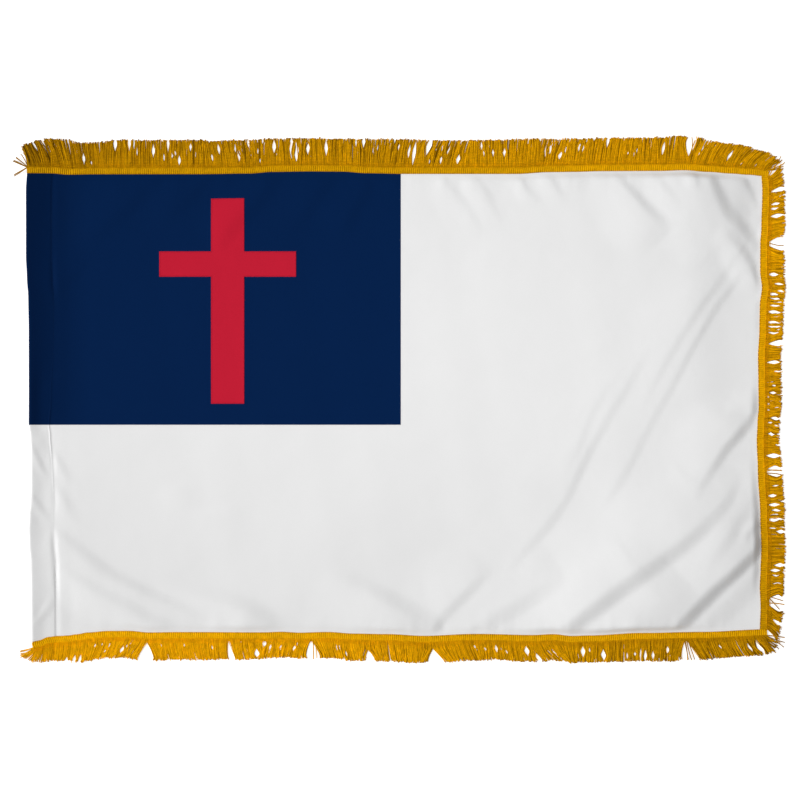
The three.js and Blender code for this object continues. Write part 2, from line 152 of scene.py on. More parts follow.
# The folds, with a semicolon between them. Each is the line along which the cloth falls away to the right,
# as one walks down its rows.
# u, v, crest, reach of the slow rise on the left, reach of the fall on the right
FOLDS = {
    "broad, soft swells": """
        720 20 2.5 350 260, 720 120 3 350 260, 710 240 2 320 240, 700 330 0 300 220;
        1345 300 0 500 120, 1340 400 3 560 120, 1335 520 4 600 130, 1330 640 5 600 130, 1330 760 4 600 130,
        1330 930 3 600 130
    """,
    "beside the fly, at the top and the bottom": """
        1312 620 0 500 110, 1306 730 1.5 560 116, 1302 800 3 600 120, 1298 880 5 600 124, 1298 960 5 600 124;
        1378 770 0 240 32, 1375 820 2.6 240 36, 1369 880 4.6 240 40, 1366 940 4.6 240 40;
        1404 832 0 30 12, 1392 862 1.8 30 13, 1380 892 2 30 13, 1370 920 1 30 13
    """,
    "at the bottom fly corner": """
        1100 -190 0 240 34, 1203 -48 5.4 300 34, 1246 8 7.8 310 34, 1278 46 10.8 310 34, 1316 86 12 310 34,
        1359 126 11.6 310 32, 1389 156 9.8 300 30, 1438 204 3.8 280 28, 1540 304 0 220 26;
        1150 -180 0 240 48, 1280 -22 3.4 300 50, 1312 16 4 320 50, 1350 56 4.4 320 50, 1392 98 4.4 320 50,
        1440 146 2.8 280 48, 1540 246 0 220 46;
        1182 -60 0 160 80, 1190 -10 8.5 200 94, 1214 26 8 200 90, 1250 56 5.5 180 78, 1288 90 0 150 60;
        1300 128 0 48 20, 1355 203 2.2 60 26, 1398 272 0.6 60 24;
        1378 182 0 14 10, 1388 206 1.3 18 12, 1402 218 1.3 16 10, 1414 222 0 10 10
    """,
    "the long one from the bottom edge to the fly": """
        950 -76 4 150 34, 1022 4 8 170 36, 1062 39 10 200 38, 1110 75 10.6 210 40, 1163 113 9.3 210 40,
        1216 150 8.3 200 38, 1269 189 6.8 170 36, 1314 232 4.5 140 32, 1348 268 3.2 114 28, 1376 322 0 95 24;
        1282 270 0 68 20, 1312 316 2.8 102 22, 1346 363 4.8 119 24, 1377 398 6.4 102 26, 1404 432 3.4 68 24;
        1346 436 0 20 12, 1370 444 1 20 12, 1404 438 0.7 16 10
    """,
    "beside the middle of the bottom edge": """
        820 -10 0 130 32, 850 8 3 150 34, 892 34 4.6 160 38, 942 64 5 160 40, 988 92 3.4 150 36,
        1034 120 0 120 30;
        744 -24 0 60 24, 776 14 2 80 24, 812 58 3.2 105 26, 854 99 2.9 105 26, 892 136 0 75 24
    """,
    "the long shallow ones across the field": """
        922 128 0 96 22, 962 178 1.7 128 24, 1003 222 2.3 128 24, 1037 273 1.7 128 20, 1068 338 2.1 128 20,
        1104 406 1.5 128 20, 1160 500 1.1 112 18, 1206 576 0 96 16;
        1026 312 0 30 14, 1062 376 0.6 34 14, 1094 454 0.6 40 14, 1150 530 0 40 14;
        1096 246 0 90 18, 1131 292 1.3 120 20, 1162 343 1.5 120 20, 1196 411 1.4 120 20, 1236 482 1.5 120 18,
        1274 552 1.8 130 17, 1314 621 1.9 130 17, 1353 680 1.7 110 18, 1386 722 0 60 16;
        1178 436 0 80 16, 1203 490 0.7 90 16, 1244 562 1.4 100 18, 1285 627 1.7 100 18, 1329 690 1.6 100 18,
        1366 742 0.5 80 16
    """,
    "at the top fly corner": """
        1412 752 0 60 24, 1377 794 4.8 110 30, 1350 823 5.8 130 34, 1325 867 5.4 130 28, 1308 912 3 120 22,
        1298 950 0 90 22;
        1412 672 0 48 20, 1400 714 4 48 22, 1378 752 3.6 48 24, 1350 782 1.4 36 20, 1336 800 0 30 20
    """,
    "from the top edge": """
        1238 792 0 84 24, 1205 821 3.6 98 24, 1174 852 4.1 98 22, 1145 882 2.7 84 18, 1128 908 0.9 56 16;
        912 800 0 48 18, 892 848 1.3 60 18, 872 884 1.6 48 16, 860 908 1 36 14;
        988 852 0 20 12, 966 866 1.2 30 12, 950 890 1.3 26 12, 942 908 0.8 20 12;
        1038 846 0 24 12, 1018 872 1.3 34 14, 1002 900 1.2 26 12;
        876 782 0 44 16, 842 842 1.3 55 18, 812 880 1.3 44 16, 800 906 0.7 33 14;
        1256 834 0 37 16, 1230 866 1.4 48 16, 1206 898 1.2 33 14;
        1296 862 0 20 12, 1286 886 1 26 12, 1276 906 0.7 20 12
    """,
    "beside the sleeve, at the bottom": """
        345 44 0 65 22, 284 68 2.9 91 24, 219 97 4.3 104 26, 163 126 4.1 104 28, 118 160 3.5 100 26,
        78 194 2.6 80 24, 50 222 0 60 20;
        320 8 1.5 60 26, 241 38 3.4 60 28, 197 62 3.8 60 30, 149 86 3.4 60 28, 100 116 2.6 60 24,
        52 154 0 48 20;
        500 26 0 70 30, 444 54 5.6 112 40, 405 72 5.8 126 42, 357 86 4.2 126 42, 300 99 1.6 100 36,
        240 110 0 84 30;
        796 32 0 70 34, 764 50 2.5 100 36, 724 68 6 126 40, 675 92 5.4 126 38, 630 114 2.6 112 36,
        570 142 0 84 30;
        88 296 0 20 14, 66 340 1.3 24 14, 54 368 0 20 12;
        102 216 0 24 14, 76 264 1.5 30 16, 56 306 0 20 14;
        330 312 0 60 24, 280 296 1 72 24, 236 280 0 60 24;
        426 268 0 72 26, 350 252 1.1 84 26, 276 234 0 72 26
    """,
    "in the sleeve": """
        42 312 0 14 10, 25 340 1.2 16 12, 8 370 0.7 10 10;
        44 230 0 14 10, 28 252 1.2 16 12, 12 272 0.7 10 10;
        40 92 0 14 10, 26 70 1 16 12, 10 52 0.6 10 10
    """,
    "in the canton": """
        108 752 0 50 26, 150 792 1.8 70 30, 196 836 2.2 80 32, 246 890 1.3 60 28;
        240 770 0 50 24, 288 828 1.7 70 28, 340 884 1.3 60 26;
        362 744 0 40 24, 386 782 2.2 60 30, 410 812 2.4 60 30, 440 838 2 60 28, 478 890 1.1 50 26;
        500 782 0 50 24, 544 832 1.9 70 28, 580 884 1.3 60 26;
        600 766 0 50 24, 624 812 1.7 60 26, 650 862 0.9 50 24;
        40 650 0 40 22, 84 694 1.7 60 26, 128 738 0 50 24
    """,
}
FOLD_STEPS = 6
FOLDS_EASE_FROM_HEADING = 15
FOLDS_EASE_FROM_STITCH = 9
RIPPLE_LENGTHS = (230, 190, 150, 120, 96, 80, 66)
RIPPLE_SLOPE = 0.0009
# The puckers beside a heading, how fast they rise from it and how far they reach.
# length, height, more on the seed
PUCKERS = ((17, 0.35, 0), (8, 0.25, 20))
PUCKER_RISE = 8
PUCKER_REACH = 55
RIPPLES_EASE_FROM_STITCH = 30

# The strands along each edge: the way that their tips turn from square to the edge, in degrees towards
# larger u or v, and how far they reach.
# u or v, turn, reach
TOP_STRANDS = table("""
    0 -16 38, 6 -20 44, 14 -23 50, 40 -24 56, 58 -21 58, 75 -14 58, 87 -8 57, 97 -6 51, 130 -5 50, 150 0 52,
    165 0 54.5, 328 0 54.5, 350 -9 53.5, 415 -8 54, 440 0 54, 466 0 52.5, 605 0 52.3, 650 2 54.5, 670 6 55.5,
    714 7 55.5, 780 15 55, 834 14 54, 856 -2 54, 907 -2 54.5, 930 4 55.5, 970 6 55, 990 9 53.5, 1012 17 54,
    1040 10 53, 1139 8 53, 1200 7 53.5, 1245 8 55, 1272 12 54.5, 1290 24 53, 1340 30 52.5, 1390 38 46,
    1412 44 38, 1422 56 30
""")
BOTTOM_STRANDS = table("""
    4 -68 30, 8 -52 31, 13 -34 31, 20 -16 32, 30 -9 34, 58 -6 37, 77 -8 37, 96 -12 42, 116 -14 45,
    135 -18 43.5, 160 -20 43, 205 -22 43, 235 0 42, 255 11 42.5, 328 10 42, 350 5 41.5, 400 11 41.5,
    430 8 40, 455 -11 39, 525 -11 38.5, 550 12 39, 585 12 40, 610 10 41.5, 660 8 41, 714 8 41.5, 740 0 41,
    766 2 40, 786 22 42.5, 845 18 42, 888 8 37.5, 905 8 37.5, 930 12 40.5, 960 12 40.5, 985 32 46,
    1012 36 48, 1036 16 42, 1056 2 40, 1110 0 40.5, 1150 0 42.5, 1250 0 43.5, 1276 20 44, 1330 25 43.5,
    1400 28 43.5, 1412 40 38, 1422 60 30
""")
FLY_STRANDS = table("""
    14 -46 34, 24 -32 32, 50 -16 32, 77 -6 34, 130 0 35, 200 -2 35, 270 2 36, 310 4 36, 347 0 34, 386 -4 32,
    440 -5 32, 480 -2 33, 560 2 33, 600 0 34, 656 -4 35, 760 3 34.5, 800 6 34.5, 849 10 32.5, 868 14 33,
    888 30 35, 900 44 37
""")

# Where the strands part: how far down them, with 0 at their roots and 1 at their tips, over how much of
# them either way, and how wide the gap is.
# u or v, middle, half length, width
TOP_PARTINGS = table("""
    14 0.85 0.2 3, 18 0.8 0.15 2, 26 1 0.25 3, 39 1 0.15 3, 44 1 0.15 2, 106 0.39 0.18 4, 121 0.24 0.09 2.5,
    165 0.85 0.22 5, 169 0.38 0.08 2.5, 192 0.9 0.25 4, 201 0.9 0.25 2.5, 207 0.6 0.08 2, 239 0.61 0.18 4.5,
    259 0.39 0.1 3, 266 0.88 0.25 3.5, 275 0.45 0.1 3, 281 0.55 0.12 2.5, 289 0.28 0.16 4, 310 0.76 0.14 4,
    319 0.5 0.07 2.5, 352 0.4 0.13 3.5, 364 0.7 0.2 4, 397 0.66 0.17 3.5, 403 0.45 0.17 4, 421 0.85 0.15 3.5,
    426 0.45 0.1 2, 440 0.6 0.1 2, 444 0.25 0.07 2, 448 0.7 0.12 2, 450 0.95 0.15 3, 470 0.7 0.22 5,
    475 0.48 0.1 3, 505 0.65 0.38 6, 514 0.55 0.4 7, 523 0.75 0.28 4, 536 0.65 0.22 5, 540 0.36 0.1 3,
    571 0.7 0.3 4.5, 575 0.8 0.1 2.5, 629 0.9 0.18 2.5, 644 0.9 0.18 4, 663 0.6 0.1 2, 670 0.7 0.1 2,
    704 1 0.15 3, 711 0.75 0.12 3, 732 0.58 0.22 3.5, 741 0.5 0.42 5, 750 1 0.15 3, 769 0.22 0.12 4.5,
    770 0.8 0.35 8, 784 0.7 0.06 3, 793 0.3 0.15 4, 796 0.75 0.1 3, 803 1 0.1 2.5, 807 0.65 0.15 3,
    826 0.33 0.18 5, 829 0.65 0.12 3, 832 1 0.15 3, 871 0.8 0.15 3, 876 0.52 0.08 3, 893 0.55 0.12 3,
    915 0.55 0.13 4, 997 0.6 0.2 4, 1003 0.65 0.28 5, 1009 0.75 0.2 4, 1023 0.4 0.17 5, 1028 0.85 0.1 3,
    1034 0.6 0.12 4, 1042 1 0.2 4, 1060 0.7 0.15 4, 1067 0.65 0.12 4, 1075 0.95 0.15 3, 1089 1 0.1 3,
    1105 1 0.1 2.5, 1115 0.9 0.25 4, 1154 0.45 0.05 2.5, 1165 0.4 0.08 2.5, 1171 0.52 0.08 2.5,
    1221 0.62 0.25 4, 1261 0.9 0.15 3, 1277 0.85 0.5 16, 1289 0.45 0.1 4, 1296 0.65 0.12 3, 1321 0.85 0.1 3,
    1349 0.5 0.2 4.5, 1353 0.9 0.1 3, 1371 0.2 0.06 4, 1399 0.2 0.06 3
""")
BOTTOM_PARTINGS = table("""
    68 1 0.2 4, 83 0.9 0.25 5, 95 0.9 0.2 3.5, 125 0.35 0.06 3, 139 0.3 0.07 3.5, 145 0.65 0.06 3,
    153 0.4 0.12 3, 171 1 0.12 3, 177 0.6 0.15 5, 187 0.48 0.1 3, 194 0.35 0.05 2.5, 203 0.45 0.07 3,
    204 0.7 0.2 3.5, 213 0.33 0.12 4, 224 0.88 0.62 22, 239 0.45 0.1 3, 241 0.25 0.1 4, 250 0.9 0.25 4,
    253 0.35 0.05 2, 282 0.6 0.04 2, 298 0.3 0.06 3, 352 0.42 0.1 2.5, 380 0.72 0.2 2.5, 388 0.85 0.75 9,
    407 0.15 0.05 3, 431 0.3 0.15 3.5, 438 0.15 0.07 3, 438 0.75 0.25 8, 452 0.27 0.17 6.5, 464 0.5 0.18 3.5,
    468 0.13 0.08 3, 482 0.85 0.1 3, 484 0.5 0.1 3.5, 510 0.5 0.12 5, 515 0.27 0.12 4, 528 0.6 0.2 4,
    534 0.6 0.15 2.5, 547 0.85 0.7 19, 551 0.15 0.1 3, 556 0.25 0.12 4, 563 0.55 0.22 4, 592 0.45 0.15 2.5,
    597 0.45 0.12 2.5, 608 1 0.1 3, 610 0.7 0.15 3, 647 0.5 0.12 2.5, 656 0.95 0.42 13, 665 0.45 0.06 3,
    668 0.15 0.05 3, 672 0.7 0.2 3, 731 0.7 0.05 3, 766 0.95 0.1 3, 769 0.15 0.07 3, 784 0.98 0.55 22,
    808 1 0.12 3, 859 0.35 0.06 3, 862 0.48 0.08 2.5, 879 0.45 0.06 3, 899 0.45 0.2 4, 909 0.42 0.07 2,
    919 0.55 0.08 3, 950 0.35 0.06 3, 955 0.9 0.12 3, 958 0.48 0.2 7, 966 0.88 0.15 4, 976 0.55 0.2 4,
    982 0.85 0.25 7, 992 0.95 0.1 3, 1002 0.6 0.15 4.5, 1011 0.6 0.2 4.5, 1021 0.88 0.15 4, 1059 0.6 0.2 2.5,
    1067 0.48 0.22 6, 1080 0.42 0.12 2.5, 1107 0.68 0.25 7, 1152 0.75 0.15 2.5, 1167 0.67 0.05 3,
    1179 0.75 0.28 2.5, 1188 0.78 0.28 4.5, 1195 0.98 0.12 3, 1202 0.75 0.2 4, 1231 0.5 0.13 4.5,
    1235 0.75 0.08 3, 1239 0.95 0.12 3, 1251 0.58 0.12 3, 1274 0.92 0.75 24, 1332 0.45 0.05 3,
    1391 0.6 0.2 4.5, 1398 0.95 0.1 3, 1410 0.65 0.4 8
""")
FLY_PARTINGS = table("""
    26 0.75 0.3 8, 41 0.6 0.2 4, 66 0.75 0.75 24, 100 0.65 0.2 5, 107 0.65 0.25 3.5, 124 0.55 0.2 4,
    134 0.5 0.3 5, 144 0.75 0.3 6, 209 0.8 0.25 6, 215 0.35 0.25 4, 217 0.85 0.2 3, 232 0.5 0.4 6,
    241 0.45 0.25 4, 250 0.55 0.25 4, 255 0.7 0.2 2, 261 0.45 0.35 4.5, 268 0.95 0.15 3, 278 0.4 0.25 4.5,
    298 0.6 0.2 2.5, 308 0.6 0.2 3.5, 326 0.65 0.6 16, 343 0.7 0.3 3, 356 0.6 0.45 7, 376 0.9 0.15 3,
    398 0.55 0.15 5, 414 0.8 0.2 3, 419 0.4 0.1 3, 427 0.75 0.3 5, 444 0.18 0.08 4, 448 0.8 0.25 3,
    456 0.18 0.08 4, 463 0.6 0.1 3, 469 0.18 0.08 5, 477 0.5 0.2 4, 491 0.6 0.15 3, 498 0.18 0.08 3,
    498 0.5 0.1 3, 519 0.75 0.3 2.5, 536 0.55 0.4 5, 544 0.8 0.1 2, 572 0.85 0.6 10, 593 0.45 0.3 4,
    599 0.5 0.35 3.5, 605 0.5 0.4 4, 613 0.5 0.4 5, 626 0.55 0.25 3, 633 0.5 0.4 5, 645 0.5 0.25 3,
    652 0.6 0.3 2.5, 659 0.5 0.3 4, 668 0.35 0.27 5, 673 0.75 0.25 5, 687 0.65 0.3 3.5, 701 0.8 0.25 2.5,
    706 0.4 0.3 5, 748 0.75 0.15 3, 766 0.9 0.85 21, 789 0.4 0.2 2.5, 795 0.75 0.15 2, 821 0.55 0.38 5,
    837 0.42 0.27 4, 843 0.9 0.15 2.5, 846 0.45 0.28 4.5, 856 0.5 0.3 3, 864 0.65 0.5 5, 874 0.65 0.5 8
""")

# Single strands that lie loose.
# u or v, turn, reach, bow sideways
TOP_LOOSE = table("""
    2 -50 31 0, 2 -53 30 1, 1 -63 30 0, 1 -67 31 -1, 1 -119 30 0, 1 -124 31 1, 2 -30 30 2, 510 2 50 -2,
    517 -3 51 2, 523 2 50 1, 998 4 52 3, 1008 12 50 -3, 1027 24 48 -4, 1272 6 53 3, 1276 12 52 1,
    1268 18 50 -2, 1415 50 43 9, 1418 57 38 6, 1419 66 40 10, 1420 76 34 5, 1421 84 30 4, 1417 40 34 -3
""")
BOTTOM_LOOSE = table("""
    5 -74 28 1, 5 -78 27 0, 6 -62 31 2, 6 -56 33 0, 224 -22 41 0, 546 2 40 1, 549 6 38 2, 1268 20 44 1,
    1264 8 43 1, 1014 38 44 2, 1262 12 42 1, 1267 14 44 -2, 1408 34 42 4, 1411 42 46 -3, 1415 50 42 3,
    1418 36 38 -4, 1420 58 44 4, 1421 70 40 -5, 1421 84 38 5
""")
FLY_LOOSE = table("""
    18 -54 37 5, 17 -42 36 -4, 22 -46 34 3, 84 -52 40 0, 82 -20 34 0, 66 -6 34 2, 335 4 35 3, 331 -5 34 -3,
    325 2 35 4, 322 -6 34 2, 768 -12 34 -3, 772 10 32 3, 867 7 34 3, 871 -3 33 -4, 862 10 33 4, 893 40 40 -8,
    897 52 40 9, 900 66 38 7
""")

# Painted light and shade: how light the strands and the heading are painted along each edge, as a share of
# the gold, to stand in for how the light falls along it.
# u or v, strands, heading
TOP_PAINTED_LIGHT = table("""
    0 0.86 0.8, 100 0.98 0.8, 160 1.05 0.81, 400 1.06 0.81, 640 1.09 0.82, 900 1.2 0.88, 1150 1.22 0.97,
    1300 1.19 0.99, 1422 1.12 0.95
""")
BOTTOM_PAINTED_LIGHT = table("""
    0 1.5 1.18, 60 1.75 1.24, 300 1.7 1.22, 480 1.5 1.12, 850 1.3 1.03, 1130 1.16 1.02, 1340 1.03 0.98,
    1422 1 0.94
""")
FLY_PAINTED_LIGHT = table("""
    0 1.07 0.76, 174 1.21 0.89, 367 1.25 1, 560 1.27 1.04, 772 1.37 1.05, 900 1.27 1
""")

# The lengths of trim. The fly one butts between the headings of the other two, whose headings are joined
# where told. Gather is how far a clump of strands draws together by its first bend, its second bend and its
# tips, sway how far its tips stray in mm, and tangles where clumps turn more: a place, a reach and degrees.
TRIMS = (
    SimpleNamespace(
        side="top", ends=(1, 1423), join=85, hoist=CANTON_HOIST, strands=TOP_STRANDS, partings=TOP_PARTINGS,
        loose=TOP_LOOSE, tones=TOP_PAINTED_LIGHT, gather=(0.1, 0.3, 0.2), sway=1.1, seed=11,
        tangles=table("30 70 12, 440 50 8, 810 50 7, 1018 45 9"),
    ),
    SimpleNamespace(
        side="bottom", ends=(4, 1423), join=88, hoist=FIELD_HOIST, strands=BOTTOM_STRANDS,
        partings=BOTTOM_PARTINGS, loose=BOTTOM_LOOSE, tones=BOTTOM_PAINTED_LIGHT, gather=(0.1, 0.3, 0.2), sway=1.2,
        seed=23, tangles=table("0 60 9, 190 50 8, 450 70 8, 665 40 8, 1400 40 10"),
    ),
    SimpleNamespace(
        side="fly", ends=(12.6, 901.4), join=None, hoist=CANTON_HOIST, strands=FLY_STRANDS,
        partings=FLY_PARTINGS, loose=FLY_LOOSE, tones=FLY_PAINTED_LIGHT, gather=(0.1, 0.4, 0.25), sway=1.6, seed=37,
        tangles=table("450 90 10, 50 60 9, 860 60 8"),
    ),
)
# The layers of strands. The lower one lies evenly in the shade of the upper one's clumps, and its low shade
# paints it darker, as painted shade in the slits between them. The loose ones lie straight over both. Free is
# how far strands leave their clump's line. Shade is a start, and the shares that the clump's and the strand's
# own tone add. For loose ones it is the darkest and the lightest.
LOWER = SimpleNamespace(
    spacing=1.2, turn=0.5, clump_turn=0, free=0.12, straight=0, lift=0, girth=1.9, shade=(0.02, 0, 0.3)
)
UPPER = SimpleNamespace(
    spacing=1, turn=1.2, clump_turn=1.6, free=1, straight=0, lift=0.75, girth=1, shade=(0.21, 0.34, 0.62)
)
LOOSE = SimpleNamespace(free=0.5, straight=1, lift=1.0, girth=1.5, shade=(0.15, 0.5))
# How far along a strand its bends and its tip lie, how far they have turned, and their share of the sleeve's
# height.
BENDS = {"first_bend": (0.33, 0.45, 0.75), "second_bend": (0.68, 0.85, 0.45), "tip": (1.0, 1.0, 0.25)}
# How much of a clump's sway and bow its strands show at their bends and their tips.
SWAYS = (0.1, 0.5, 1.0)
BOWS = (0.5, 0.8, 0.0)
# The narrowest and the widest clump, as shares of the usual one.
CLUMP_WIDTHS = (0.45, 1.7)
# How far single strands stray: their roots as a share of their spacing, their reach in mm, how much less
# than their table they reach, and the share of them that end well short, by about so much.
ROOT_STRAY = 0.3
REACH_STRAY = 1.2
REACH_LESS = 0.8
SHORT_SHARE = 0.2
SHORT_BY = 2.5
# How far a strand's bends stray sideways: in a tight clump, and the more that free strands do.
BEND_STRAY = (0.15, 0.45)
RISE_STRAY = 0.25
# The least and the most girth of a strand, as shares of its thickness.
GIRTHS = (0.85, 1.12)
# The most painted light that a strand takes, and how far its painted light and shade also move its shade.
BRIGHTEST_PAINTED_LIGHT = 1.42
SHADE_BY_PAINTED_LIGHT = 0.4
# How far in from the edge strands root, and how high their roots and their bends lie over the cloth.
ROOT_IN = 0.6
ROOT_LIFT = 0.25
STRAND_LIFT = 0.75
# A parting's gap and length as they are made: shares of what its table says, and what is added to the gap.
PARTING_WIDTH = (1.35, 0.55)
PARTING_LENGTH = 1.14
# How far beside a parting strands still give way: a share of its gap, and what is added to that. Clearance
# is what the strands at its edges add to the gap.
PARTING_REACH = (1.3, 2.5)
PARTING_CLEARANCE = 0.8
# The heading's ribs and the row along its inner edge.
# out, height over the cloth
RIBS = (0.7 - HEADING_WIDTH / 2, 0.9)
INNER_ROW = (1.5 - HEADING_WIDTH, 1.0)
HEADING_STEP = 5
# The heading's band, its edge cords and the skirt under the strands' roots. Its band gold is painted darker,
# as painted shade in the gaps between the ribs and under the skirt's threads. Fall is the share by which a
# cord lies lower where the sleeve lifts the edge.
# out, height over the cloth, fall, column of its painted light and shade, gold, width, height, sides
HEADING_CORDS = (
    (-HEADING_WIDTH / 2, 0.5, 0, 2, "band", 11.4, 0.9, 8),
    (0.5 - HEADING_WIDTH, 0.6, 0, 2, "band", 1.0, 1.0, 6),
    (-0.7, 0.75, 0, 2, "ribs", 1.8, 1.2, 6),
    (2.85, 0.15, 0.3, 1, "band", 6.5, 0.7, 8),
    (0.9, 1.85, 0.036, 1, "skirt", 1.3, 0.5, 4),
    (3.1, 1.85, 0.124, 1, "skirt", 0.6, 0.5, 4),
    (5.3, 1.85, 0.212, 1, "skirt", 0.6, 0.5, 4),
    (7.5, 1.85, 0.3, 1, "skirt", 0.6, 0.5, 4),
)


# ---- Helpers ----


def linear(code):
    """The linear colour that a six-digit colour code stands for."""
    shares = [int(code[i : i + 2], 16) / 255 for i in (0, 2, 4)]
    return tuple(s / 12.92 if s <= 0.04045 else ((s + 0.055) / 1.055) ** 2.4 for s in shares)


def eased(share):
    """From 0 to 1, level at both ends."""
    share = np.clip(share, 0, 1)
    return share * share * (3 - 2 * share)


def ramped(share):
    """From 0 to 1 at a steady slope, with its ends rounded."""
    share, end = np.clip(share, 0, 1), 0.3
    near = np.minimum(share, 1 - share)
    level = np.where(near < end, near * near / (2 * end), near - end / 2) / (1 - end)
    return np.where(share < 0.5, level, 1 - level)


def along(rows, column, at):
    """The value of a table's column at a place, between the rows on either side, and level past the ends."""
    places, values = rows[:, 0], rows[:, column]
    before = np.clip(np.searchsorted(places, at, side="right") - 1, 0, len(places) - 2)
    share = eased((at - places[before]) / (places[before + 1] - places[before]))
    return values[before] + share * (values[before + 1] - values[before])


def uneven(at, length, seed):
    """Smooth unevenness from -1 to 1, the same on each run, that changes over about a length."""
    count = 2048
    levels = np.random.default_rng(seed).uniform(-1, 1, count)
    step = np.floor(np.asarray(at) / length).astype(int)
    share = eased(np.asarray(at) / length - step)
    return levels[step % count] * (1 - share) + levels[(step + 1) % count] * share


def steps(*stops, longest):
    """Evenly spaced places from the first stop to the last, on each stop and at most a step apart."""
    spans = [np.linspace(a, b, math.ceil((b - a) / longest) + 1) for a, b in zip(stops, stops[1:])]
    return np.concatenate([spans[0], *(span[1:] for span in spans[1:])])


def smooth_line(rows):
    """A smooth line through a fold's rows, with their other columns carried along."""
    padded = np.vstack([2 * rows[0] - rows[1], rows, 2 * rows[-1] - rows[-2]])
    shares = np.linspace(0, 1, FOLD_STEPS, endpoint=False)[:, None]
    spans = []
    for a, b, c, d in zip(padded, padded[1:], padded[2:], padded[3:]):
        bend = 2 * a - 5 * b + 4 * c - d + (3 * (b - c) + d - a) * shares
        spans.append(b + 0.5 * shares * (c - a + shares * bend))
    return np.vstack([*spans, rows[-1:]])


# ---- How the cloth lies ----


def fold_height(rows, u, v):
    """One fold's height at points of the cloth."""
    line = smooth_line(rows)
    line[:, 2:] = np.maximum(line[:, 2:], 0)
    nearest = np.full(u.shape, np.inf)
    side = np.zeros(u.shape)
    sizes = np.zeros((3, *u.shape))
    for a, b in zip(line, line[1:]):
        run = b[:2] - a[:2]
        du, dv = u - a[0], v - a[1]
        share = np.clip((du * run[0] + dv * run[1]) / (run @ run), 0, 1)
        distance = np.hypot(du - share * run[0], dv - share * run[1])
        closer = distance < nearest
        nearest = np.where(closer, distance, nearest)
        side = np.where(closer, np.sign(du * run[1] - dv * run[0]), side)
        for size, start, end in zip(sizes, a[2:], b[2:]):
            size[closer] = (start + share * (end - start))[closer]
    crest, left, right = sizes
    past_crest = nearest * side + right / 2
    fall = 1 - eased(past_crest / np.maximum(right, 1))
    rise = 1 - ramped(-past_crest / np.maximum(left, 1))
    return crest * np.where(past_crest > 0, fall, rise)


def folds_at(u, v):
    """The height of all the folds. The headings hold the sewn edges down, and so does the stitch line."""
    height = np.zeros(u.shape)
    for text in ";".join(FOLDS.values()).split(";"):
        rows = table(text)
        reach = rows[:, 3:].max() * 1.6
        low, high = rows[:, :2].min(0) - reach, rows[:, :2].max(0) + reach
        near = (u > low[0]) & (u < high[0]) & (v > low[1]) & (v < high[1])
        height[near] += fold_height(rows, u[near], v[near])
    from_heading = np.minimum.reduce([v, CLOTH_HEIGHT - v, CLOTH_LENGTH - u]) - HEADING_WIDTH
    height *= eased(from_heading / FOLDS_EASE_FROM_HEADING)
    return height * eased(abs(u - SLEEVE_STITCH) / FOLDS_EASE_FROM_STITCH)


def ripples_at(u, v):
    """The cloth's slight unevenness, and the puckers that the sewn headings draw in beside them."""
    rng = np.random.default_rng(5)
    height = np.zeros(u.shape)
    for length in RIPPLE_LENGTHS:
        turn, phase = rng.uniform(0, math.pi), rng.uniform(0, 2 * math.pi)
        across = u * math.cos(turn) + v * math.sin(turn)
        height += length * RIPPLE_SLOPE * np.sin(across * 2 * math.pi / length + phase)
    held = ((v, u, 3), (CLOTH_HEIGHT - v, u, 4), (CLOTH_LENGTH - u, v, 6))
    for distance, place, seed in held:
        distance = distance - HEADING_WIDTH
        pucker = sum(rise * uneven(place, length, seed + more) for length, rise, more in PUCKERS)
        height += pucker * eased(distance / PUCKER_RISE) * (1 - eased(distance / PUCKER_REACH))
    from_heading = np.minimum.reduce([distance for distance, _, _ in held]) - HEADING_WIDTH
    height *= eased(from_heading / PUCKER_RISE)
    return height * eased((u - SLEEVE_STITCH) / RIPPLES_EASE_FROM_STITCH)


def placed(u, v, z, hoist):
    """Points of the cloth or its trim in the frame, in metres, with the edges' wander eased off inwards."""
    near_hoist = 1 - eased(u / WANDER_FROM_HOIST_AND_FLY)
    near_fly = 1 - eased((CLOTH_LENGTH - u) / WANDER_FROM_HOIST_AND_FLY)
    near_top = 1 - eased((CLOTH_HEIGHT - v) / WANDER_FROM_TOP_AND_BOTTOM)
    near_bottom = 1 - eased(v / WANDER_FROM_TOP_AND_BOTTOM)
    shift = near_hoist * along(hoist, 1, v) + near_fly * along(FLY_EDGE, 1, v)
    rise = near_top * along(TOP_EDGE, 1, u) + near_bottom * along(BOTTOM_EDGE, 1, u)
    return np.stack(np.broadcast_arrays(HOIST_X + u + shift, BOTTOM_Y + v + rise, z), -1) * MM


def sleeve_line():
    """The section of the cloth round the sleeve as finely spaced u and z, from its raw edge on."""
    points = [SLEEVE_SECTION[:1, :2]]
    for before, point in zip(SLEEVE_SECTION, SLEEVE_SECTION[1:]):
        shares = np.linspace(0, 1, int(point[2]) + 1)[1:, None]
        points.append(before[:2] + shares * (point[:2] - before[:2]))
    u, z = np.vstack(points).T
    start = SMOOTHED_FROM
    z[start:-1] = (z[start - 1 : -2] + 2 * z[start:-1] + z[start + 1 :]) / 4
    return u, z


def top_of_cloth(u, thickness):
    """The height of the cloth's face along a sewn edge, over the sleeve and past it, in mm."""
    section_u, section_z = sleeve_line()
    over = section_u.argmin()
    return np.interp(u, section_u[over:], section_z[over:], right=LYING) + thickness / 2


